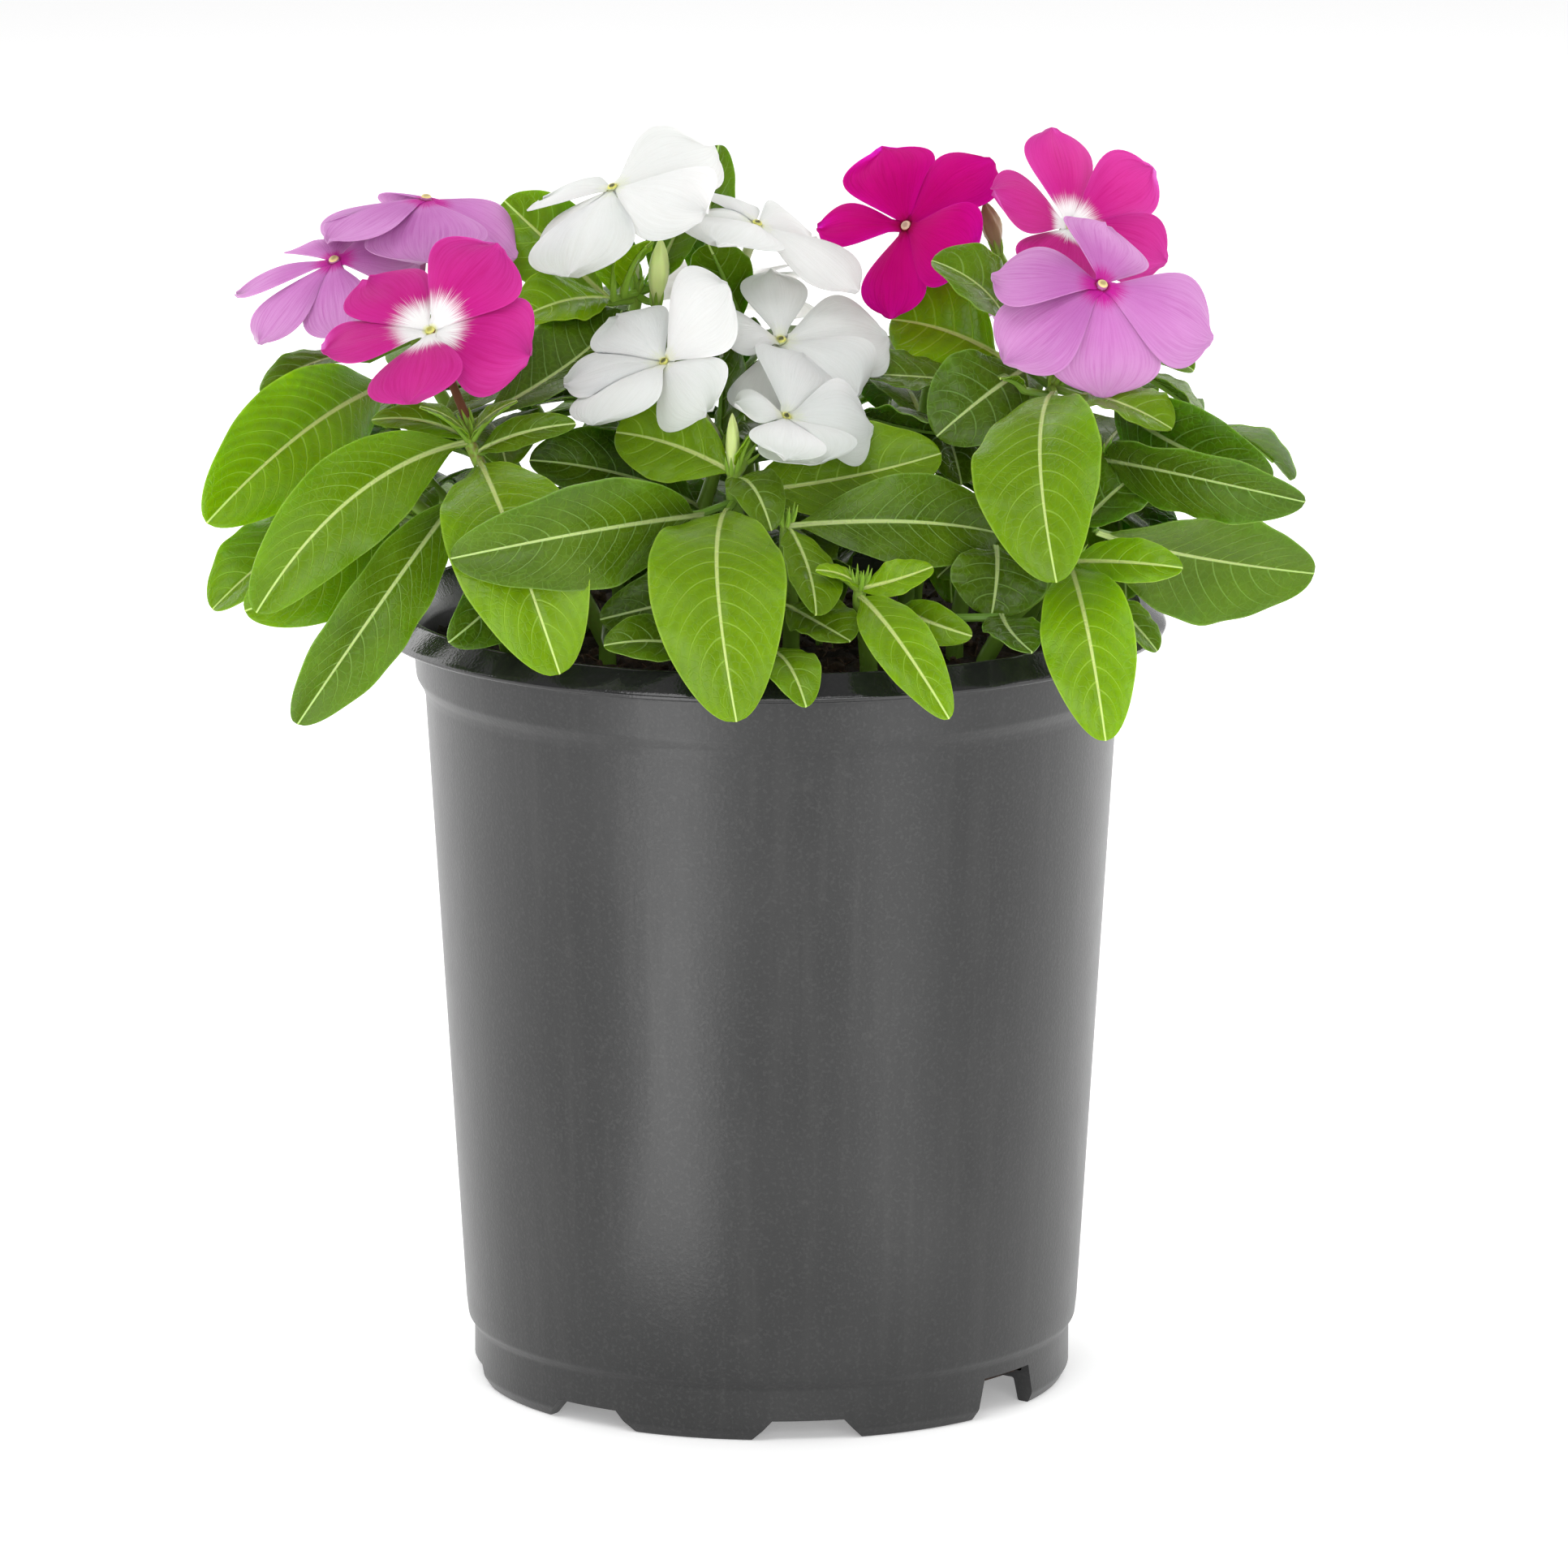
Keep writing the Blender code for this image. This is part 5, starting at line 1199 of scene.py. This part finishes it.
class Shader:
    """A node material, with short calls for the nodes that the looks use."""

    def __init__(self, name):
        self.material = bpy.data.materials.new(name)
        self.material.use_nodes = True
        self.tree = self.material.node_tree
        self.surface = self.tree.nodes["Principled BSDF"]

    def put(self, socket, value):
        """Links a worked-out value to a socket, or sets a plain one. A plain colour gets its alpha here."""
        if isinstance(value, Value):
            self.tree.links.new(value.socket, socket)
        elif socket.type == "RGBA":
            socket.default_value = (*value, 1.0)
        else:
            socket.default_value = value

    def node(self, kind, output, inputs, **settings):
        """The output of a new node with these settings and inputs."""
        node = self.tree.nodes.new("ShaderNode" + kind)
        for name, value in settings.items():
            setattr(node, name, value)
        for key, value in inputs.items():
            self.put(node.inputs[key], value)
        return Value(self, node.outputs[output])

    def attributes(self, *names):
        return [self.node("Attribute", "Fac", {}, attribute_name=name) for name in names]

    def math(self, operation, *values, clamp=False):
        return self.node("Math", 0, dict(enumerate(values)), operation=operation, use_clamp=clamp)

    def fade(self, value, low, high):
        """0 at low, 1 at high, smooth between."""
        inputs = {"Value": value, "From Min": low, "From Max": high}
        return self.node("MapRange", "Result", inputs, interpolation_type="SMOOTHSTEP")

    def mix(self, share, a, b):
        """Colour a where the share is 0, and colour b where it is 1."""
        return self.node("Mix", 2, {0: share, 6: a, 7: b}, data_type="RGBA")

    def combine(self, x, y, z):
        return self.node("CombineXYZ", 0, {0: x, 1: y, 2: z})

    def place(self):
        """The point on the piece itself, in metres."""
        return self.node("TexCoord", "Object", {})

    def stretched(self, vector, across, along):
        """The point scaled by one factor across the pot and by another up it."""
        return self.node("VectorMath", 0, {0: vector, 1: (across, across, along)}, operation="MULTIPLY")

    def noise(self, vector, scale, detail=3.0, rough=0.5):
        inputs = {"Vector": vector, "Scale": scale, "Detail": detail, "Roughness": rough}
        return self.node("TexNoise", "Fac", inputs)

    def cell_edges(self, vector, scale):
        """How far each point is from the edge of its cell."""
        inputs = {"Vector": vector, "Scale": scale}
        return self.node("TexVoronoi", "Distance", inputs, feature="DISTANCE_TO_EDGE")

    def bump(self, height, distance, strength):
        inputs = {"Height": height, "Distance": distance, "Strength": strength}
        self.set(Normal=self.node("Bump", 0, inputs))

    def set(self, **values):
        for name, value in values.items():
            self.put(self.surface.inputs[name.replace("_", " ")], value)


def leaf_material():
    """Leaves with pale veins, greener or yellower by their tone, and the stems, bracts and buds."""
    s = Shader("living_leaf")
    u, v, offset, tone, kind = s.attributes("along", "across", "offset", "tone", "kind")
    blush, veins = s.attributes("blush", "veins")
    a = abs(v)
    place = s.place()
    blotch = s.noise(place, 90.0, 3.0)
    speck = s.noise(place, 900.0, 2.0)
    turn = veins * (u - a ** VEIN_CURVE * VEIN_SWEEP) + (v > 0.0) * VEIN_SHIFT
    near = abs(s.math("FRACT", turn + 0.5) - 0.5)
    lateral = s.fade(near, 0.075 - a * 0.03, 0.012) * s.fade(a, 0.96, 0.5)
    lateral = lateral * (s.fade(u, 0.04, 0.14) * s.fade(u, 0.97, 0.8))
    rib_edge = 0.80 - u * 0.52
    midrib = s.fade(offset, rib_edge, rib_edge * 0.45)
    net = s.fade(s.cell_edges(place, 620.0), 0.10, 0.02)
    bright = s.math("ADD", tone, (blotch - 0.5) * 0.45, clamp=True)
    colour = s.mix(bright, (0.028, 0.054, 0.003), (0.188, 0.340, 0.001))
    colour = s.mix(s.fade(near, 0.12, 0.5) * 0.22, colour, (0.07, 0.14, 0.004))
    colour = s.mix(net * 0.10, colour, (0.20, 0.36, 0.05))
    vein = s.mix(tone, (0.17, 0.30, 0.09), (0.40, 0.60, 0.05))
    colour = s.mix(lateral * 0.48, colour, vein)
    colour = s.mix(s.fade(a, 0.955, 0.99) * 0.3, colour, vein)
    rib = s.mix(tone, (0.40, 0.54, 0.20), (0.62, 0.78, 0.22))
    colour = s.mix(midrib * 0.9, colour, rib)
    stem = s.mix(tone, (0.10, 0.20, 0.03), (0.26, 0.44, 0.05))
    stem = s.mix(blush * s.fade(speck, 0.3, 0.7), stem, (0.16, 0.06, 0.03))
    bud = s.mix(blush, (0.66, 0.78, 0.30), (0.34, 0.23, 0.13))
    bud = s.mix(s.fade(u, 0.25, 0.0), bud, (0.16, 0.30, 0.04))
    stem = s.mix(kind > 1.5, stem, bud)
    on_blade = kind < 0.25
    s.set(Base_Color=s.mix(on_blade, stem, colour), Roughness=blotch * 0.22 + (lateral * 0.12 + 0.15))
    s.set(Subsurface_Weight=0.35, Subsurface_Radius=(0.0010, 0.0018, 0.0003), Subsurface_Scale=1.0)
    s.set(Specular_IOR_Level=0.16)
    relief = lateral * -0.5 + net * -0.12 + midrib * -0.8
    s.bump(relief * on_blade + speck * 0.15, 0.00035, 0.7)
    return s.material


PETAL_LOOKS = {
    "white": {
        "body": (0.83, 0.82, 0.80), "outer": (0.86, 0.855, 0.84), "streak": (0.78, 0.77, 0.745),
        "eye": (0.76, 0.76, 0.34), "eye_edge": 2.0, "glow": (0.78, 0.80, 0.62), "glow_edge": 4.4,
        "ring": (0.70, 0.66, 0.14), "tube": (0.50, 0.56, 0.30), "pit": (0.16, 0.20, 0.02), "gloss": 0.2,
    },
    "lilac": {
        "body": (0.47, 0.135, 0.430), "outer": (0.54, 0.205, 0.505), "streak": (0.41, 0.088, 0.360),
        "eye": (0.24, 0.001, 0.06), "eye_edge": 2.1, "glow": (0.48, 0.006, 0.27), "glow_edge": 6.0,
        "ring": (0.80, 0.62, 0.26), "tube": (0.42, 0.12, 0.30), "pit": (0.05, 0.002, 0.01), "gloss": 0.16,
    },
    "magenta": {
        "body": (0.45, 0.006, 0.190), "outer": (0.49, 0.014, 0.215), "streak": (0.40, 0.003, 0.142),
        "eye": (0.80, 0.80, 0.42), "eye_edge": 2.0, "glow": (0.90, 0.87, 0.87), "glow_edge": 9.4,
        "ring": (0.74, 0.70, 0.18), "tube": (0.15, 0.06, 0.03), "pit": (0.20, 0.22, 0.02), "gloss": 0.1,
    },
    "crimson": {
        "body": (0.37, 0.0004, 0.112), "outer": (0.43, 0.0008, 0.142), "streak": (0.30, 0.0003, 0.080),
        "eye": (0.12, 0.001, 0.012), "eye_edge": 1.9, "glow": (0.26, 0.001, 0.05), "glow_edge": 3.6,
        "ring": (0.72, 0.45, 0.33), "tube": (0.26, 0.03, 0.04), "pit": (0.04, 0.001, 0.004), "gloss": 0.02,
    },
}


def petal_material(name, looks):
    """A petal whose colour runs in fine streaks out of its eye, with a soft sheen."""
    s = Shader(f"petal_{name}")
    reach, v, t, kind, petal = s.attributes("reach", "across", "along", "kind", "petal")
    streaks = s.noise(s.combine(v * 9.0, t * 1.1, petal), 2.2, 4.0, 0.6)
    threads = s.noise(s.combine(v * 26.0, t * 1.6, petal), 2.0, 2.0, 0.5)
    cloud = s.noise(s.place(), 60.0, 2.0)
    pale = tuple(min(0.86, c * 1.12 + 0.002) for c in looks["outer"])
    colour = s.mix(s.fade(reach, 7.0, 20.0), looks["body"], looks["outer"])
    colour = s.mix(s.fade(streaks, 0.42, 0.72) * 0.6, colour, looks["streak"])
    colour = s.mix(s.fade(threads, 0.5, 0.64) * 0.35, colour, looks["streak"])
    colour = s.mix(s.fade(cloud, 0.4, 0.7) * 0.35, colour, pale)
    rim = s.math("MAXIMUM", abs(v), t)
    colour = s.mix(s.fade(rim, 0.94, 1.0) * 0.35, colour, pale)
    ragged = reach + (threads - 0.5) * 8.0
    glow_edge = looks["glow_edge"]
    eye_edge = looks["eye_edge"]
    colour = s.mix(s.fade(ragged, glow_edge, glow_edge * 0.5), colour, looks["glow"])
    colour = s.mix(s.fade(reach, eye_edge, eye_edge * 0.6), colour, looks["eye"])
    tube = s.mix(kind > 1.5, looks["tube"], looks["ring"])
    tube = s.mix(kind > 2.5, tube, looks["pit"])
    s.set(Base_Color=s.mix(kind > 0.5, colour, tube), Roughness=streaks * 0.2 + 0.46)
    s.set(Subsurface_Weight=0.95 if name == "white" else 0.5, Subsurface_Radius=(0.0022, 0.0020, 0.0020))
    s.set(Subsurface_Scale=1.0, Specular_IOR_Level=looks["gloss"])
    s.bump(threads * 0.6 + streaks * 0.8, 0.00022, 0.6)
    return s.material


def pot_material():
    """Black blow-moulded plastic: satin walls with faint flow marks, dust and scuffs, a glossier lip."""
    s = Shader("black_plastic")
    place = s.place()
    flow = s.noise(place, 14.0, 3.0)
    grain = s.noise(place, 1400.0, 2.0)
    scuff = s.noise(place, 160.0, 5.0, 0.65)
    streak = s.noise(s.stretched(place, 220.0, 6.0), 1.0, 3.0, 0.6)
    [gloss] = s.attributes("gloss")
    colour = s.mix(s.fade(flow, 0.35, 0.7), (0.011, 0.0112, 0.0114), (0.018, 0.0182, 0.0184))
    colour = s.mix(s.fade(streak, 0.45, 0.8) * 0.35, colour, (0.036, 0.0357, 0.035))
    colour = s.mix(s.fade(grain, 0.5, 0.7) * 0.4, colour, (0.040, 0.040, 0.0395))
    colour = s.mix(s.fade(scuff, 0.60, 0.78) * 0.25, colour, (0.060, 0.059, 0.056))
    rough = flow * 0.10 + scuff * 0.08 + (0.25 - gloss * 0.20)
    s.set(Base_Color=s.mix(gloss * 0.5, colour, (0.006, 0.006, 0.006)), Roughness=rough)
    s.set(Specular_IOR_Level=0.5)
    s.bump(grain + flow * 2.0, 0.00005, 0.9)
    return s.material


def soil_material():
    """Damp peat with lighter fibres and crumbs."""
    s = Shader("potting_mix")
    [shade] = s.attributes("shade")
    lumps = s.noise(s.place(), 260.0, 5.0, 0.65)
    grit = s.noise(s.place(), 1200.0, 3.0, 0.7)
    colour = s.mix(s.fade(lumps, 0.35, 0.68), (0.010, 0.006, 0.004), (0.050, 0.028, 0.016))
    colour = s.mix(shade * s.fade(grit, 0.3, 0.6), colour, (0.115, 0.070, 0.040))
    s.set(Base_Color=colour, Roughness=grit * 0.2 + 0.72, Specular_IOR_Level=0.3)
    s.bump(lumps + grit * 0.6, 0.0012, 0.9)
    return s.material


def rounded(profile, radius=0.5):
    """The profile with each corner cut by a short arc, so that it catches the light."""
    points = [np.array(point, float) for point in profile]
    out = [points[0]]
    for before, corner, after in zip(points, points[1:], points[2:]):
        back = before - corner
        ahead = after - corner
        cut = min(radius, 0.4 * np.linalg.norm(back), 0.4 * np.linalg.norm(ahead))
        start = corner + back / np.linalg.norm(back) * cut
        end = corner + ahead / np.linalg.norm(ahead) * cut
        for t in (0.0, 0.25, 0.5, 0.75, 1.0):
            out.append(start * (1 - t) ** 2 + corner * 2 * t * (1 - t) + end * t * t)
    out.append(points[-1])
    return out


def cutter(mesh_parts, collection):
    """A closed block for the boolean to take away."""
    points, faces = mesh_parts
    mesh = bpy.data.meshes.new("cutter")
    mesh.from_pydata([(x * MM, y * MM, z * MM) for x, y, z in points], [], faces)
    collection.objects.link(bpy.data.objects.new("cutter", mesh))


def notch_block(number):
    """(points, faces) of a notch: a block across the foot ring, narrower at its top."""
    angle = radians(NOTCH_TURN + 360 * number / NOTCHES)
    middle = (FOOT_RADIUS + FOOT_INNER_RADIUS) / 2
    low_width, top_width, height = notch_size(number)
    points = []
    for z, width in ((-1.0, low_width), (height, top_width)):
        for x, y in CORNERS:
            sideways = x * width / 2
            outwards = middle - y * 6.0
            points.append((sideways * cos(angle) + outwards * sin(angle),
                           sideways * sin(angle) - outwards * cos(angle), z))
    return points, tube_faces(2, 4)


def build_pot(material):
    """The pot: the solid's own profile with rounded corners, turned finely, with its notches and holes."""
    profile = rounded(pot_profile())
    points = [(0.0, 0.0, profile[0][1])]
    for radius, z in profile[1:-1]:
        points += [(x, y, z) for x, y in circle(radius, POT_TURNS)]
    points.append((0.0, 0.0, profile[-1][1]))
    faces = [(first, *rest[::-1]) for first, *rest in turned_faces(len(profile) - 2, POT_TURNS)]
    piece = Piece(("gloss",))
    piece.add(points, faces, gloss=[float(z > BAND_TOP_Z + 1) for _, _, z in points])
    pot = piece.make("nursery_pot", material, sharp=180)
    cutters = bpy.data.collections.new("pot_cutters")
    bpy.context.scene.collection.children.link(cutters)
    for number in range(NOTCHES):
        cutter(notch_block(number), cutters)
    for number in range(DRAIN_HOLES):
        angle = 2 * pi * (number + 0.5) / DRAIN_HOLES
        x = DRAIN_CIRCLE * cos(angle)
        y = DRAIN_CIRCLE * sin(angle)
        ends = [vec(x, y, FLOOR_Z - 2), vec(x, y, FLOOR_TOP_Z + 2)]
        cutter(tube_mesh(ends, [DRAIN_RADIUS, DRAIN_RADIUS], 32), cutters)
    cut = pot.modifiers.new("notches and drain holes", "BOOLEAN")
    cut.operation = "DIFFERENCE"
    cut.operand_type = "COLLECTION"
    cut.collection = cutters
    cut.solver = "EXACT"
    graph = bpy.context.evaluated_depsgraph_get()
    mesh = bpy.data.meshes.new_from_object(pot.evaluated_get(graph))
    pot.modifiers.clear()
    pot.data = mesh
    mesh.set_sharp_from_angle(angle=radians(38))
    for old in list(cutters.objects):
        bpy.data.objects.remove(old)
    bpy.data.collections.remove(cutters)
    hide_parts("pot")
    return pot


def rough_ground(x, y):
    """The soil's fine unevenness, from a few layers of crossing waves."""
    z = soil_height(x, y)
    for scale, size in ((0.9, 0.35), (1.7, 0.22), (3.1, 0.14)):
        z += size * sin(scale * x + 1.3 * scale) * sin(scale * 1.13 * y - 0.7) * sin(scale * 0.6 * (x - y))
    return z


def build_soil(material):
    """The potting mix: a full plug with an uneven top, strewn with crumbs and fibres."""
    side = soil_side()
    outer = BAND_RADIUS - SOIL_TOP_INSET - WALL - SOIL_GAP
    points = [(0.0, 0.0, side[0][1])]
    for radius, z in side:
        points += [(x, y, z) for x, y in circle(radius, SOIL_TURNS)]
    for ring in range(SOIL_TOP_RINGS):
        flat = circle(outer * (1 - ring / SOIL_TOP_RINGS), SOIL_TURNS)
        points += [(x, y, rough_ground(x, y)) for x, y in flat]
    points.append((0.0, 0.0, rough_ground(0, 0)))
    piece = Piece(("shade",))
    piece.add(points, turned_faces(len(side) + SOIL_TOP_RINGS, SOIL_TURNS))
    draws = np.random.default_rng(SOIL_SEED)
    lump_points, lump_faces = ball(8, 5)
    for _ in range(CRUMBS):
        turn = draws.uniform(0, 2 * pi)
        radius = (outer - 2.5) * draws.uniform(0, 1) ** 0.5
        x = radius * cos(turn)
        y = radius * sin(turn)
        size = 0.5 + 1.3 * draws.uniform(0, 1) ** 2.5
        stretch = draws.uniform(0.6, 1.3, 3)
        angle = draws.uniform(0, 6.28)
        twist = np.array(Matrix.Rotation(angle, 3, Vector(draws.normal(size=3)).normalized()))
        lump = lump_points * (1 + draws.uniform(-0.22, 0.22, (len(lump_points), 1))) * stretch * size
        place = np.array([x, y, rough_ground(x, y) + 0.15 * size])
        piece.add(lump @ twist.T + place, lump_faces, shade=draws.uniform(0, 1) ** 1.5)
    for _ in range(FIBRES):
        turn = draws.uniform(0, 2 * pi)
        radius = (outer - 6) * draws.uniform(0, 1) ** 0.5
        start = vec(radius * cos(turn), radius * sin(turn), 0)
        heading = draws.uniform(0, 2 * pi)
        reach = draws.uniform(3, 8)
        line = []
        for step in (0.0, 0.35, 0.7, 1.0):
            heading += draws.uniform(-0.5, 0.5)
            point = start + vec(cos(heading), sin(heading), 0) * reach * step
            line.append(vec(point.x, point.y, rough_ground(point.x, point.y) + 0.3))
        add_tube(piece, line, [0.12, 0.2, 0.2, 0.08], 5, shade=1.0)
    soil = piece.make("potting_mix", material, sharp=60)
    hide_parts("soil")
    return soil


def ball(turns, steps):
    """(points, faces) of a small faceted ball, for crumbs."""
    points = [(0, 0, -1)]
    for step in range(1, steps):
        angle = pi * step / steps - pi / 2
        points += [(x, y, sin(angle)) for x, y in circle(cos(angle), turns)]
    points.append((0, 0, 1))
    return np.array(points, float), turned_faces(steps - 1, turns)


def floor_material():
    """A pale matt floor that gives off a little light, as a light table does."""
    s = Shader("studio_floor")
    wash = s.noise(s.place(), 3.0, 2.0)
    s.set(Base_Color=s.mix(wash, (0.93, 0.93, 0.93), (0.95, 0.95, 0.95)), Roughness=0.9)
    s.set(Emission_Color=(1.0, 1.0, 1.0), Emission_Strength=FLOOR_GLOW, Specular_IOR_Level=0.0)
    return s.material


def build_floor():
    mesh = bpy.data.meshes.new("floor")
    mesh.from_pydata([(x * FLOOR_REACH, y * FLOOR_REACH, 0) for x, y in CORNERS], [], [(0, 1, 2, 3)])
    mesh.materials.append(floor_material())
    floor = add_object("floor", mesh)


def build_room():
    """A white room, brighter behind the object than in front of it."""
    world = bpy.data.worlds.new("studio")
    bpy.context.scene.world = world
    world.use_nodes = True
    nodes = world.node_tree.nodes
    links = world.node_tree.links
    room = nodes["Background"]
    room.inputs["Color"].default_value = (1.0, 1.0, 1.0, 1.0)
    apart = nodes.new("ShaderNodeSeparateXYZ")
    ramp = nodes.new("ShaderNodeMapRange")
    ramp.inputs["From Min"].default_value = -1.0
    ramp.inputs["To Min"].default_value = FRONT_LIGHT
    ramp.inputs["To Max"].default_value = BACK_LIGHT
    links.new(nodes.new("ShaderNodeTexCoord").outputs["Generated"], apart.inputs[0])
    links.new(apart.outputs["Y"], ramp.inputs["Value"])
    links.new(ramp.outputs["Result"], room.inputs["Strength"])


def build_lamps():
    """The key light and the soft boxes."""
    sun = bpy.data.lights.new("key_light", "SUN")
    sun.energy = KEY_LIGHT
    sun.angle = radians(KEY_SOFTNESS)
    turned_to(add_object("key_light", sun), -Vector(KEY_FROM))
    for name, watts, width, height, stands, faces in SOFT_BOXES:
        data = bpy.data.lights.new(name, "AREA")
        data.shape = "RECTANGLE"
        data.size = width
        data.size_y = height
        data.energy = watts
        light = add_object(name, data)
        light.location = stands
        light.visible_camera = False
        turned_to(light, Vector(faces) - Vector(stands))


def build_camera():
    data = bpy.data.cameras.new("camera")
    data.lens = CAMERA_LENS
    data.sensor_width = CAMERA_SENSOR
    data.sensor_fit = "AUTO"
    data.clip_start = 0.05
    data.clip_end = 60.0
    camera = add_object("camera", data)
    camera.location = CAMERA_PLACE
    camera.rotation_euler = (radians(90 - VIEW_DOWN), 0, 0)
    bpy.context.scene.camera = camera


build_camera()
build_floor()
build_room()
build_lamps()
bpy.context.scene.view_settings.view_transform = "Standard"

leaves = settled_plant()
leaf_look = leaf_material()
petal_looks = {name: petal_material(name, looks) for name, looks in PETAL_LOOKS.items()}
pieces = [build_pot(pot_material()), build_soil(soil_material())]
for shoot_name, shoot_rule in SHOOTS.items():
    pieces.append(build_shoot(shoot_name, shoot_rule, leaves[shoot_name], leaf_look))
for bloom_name, bloom_rule in BLOOMS.items():
    pieces.append(build_bloom(bloom_name, bloom_rule, petal_looks[bloom_rule["colour"]]))
for made_piece in pieces:
    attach(made_piece, "root")
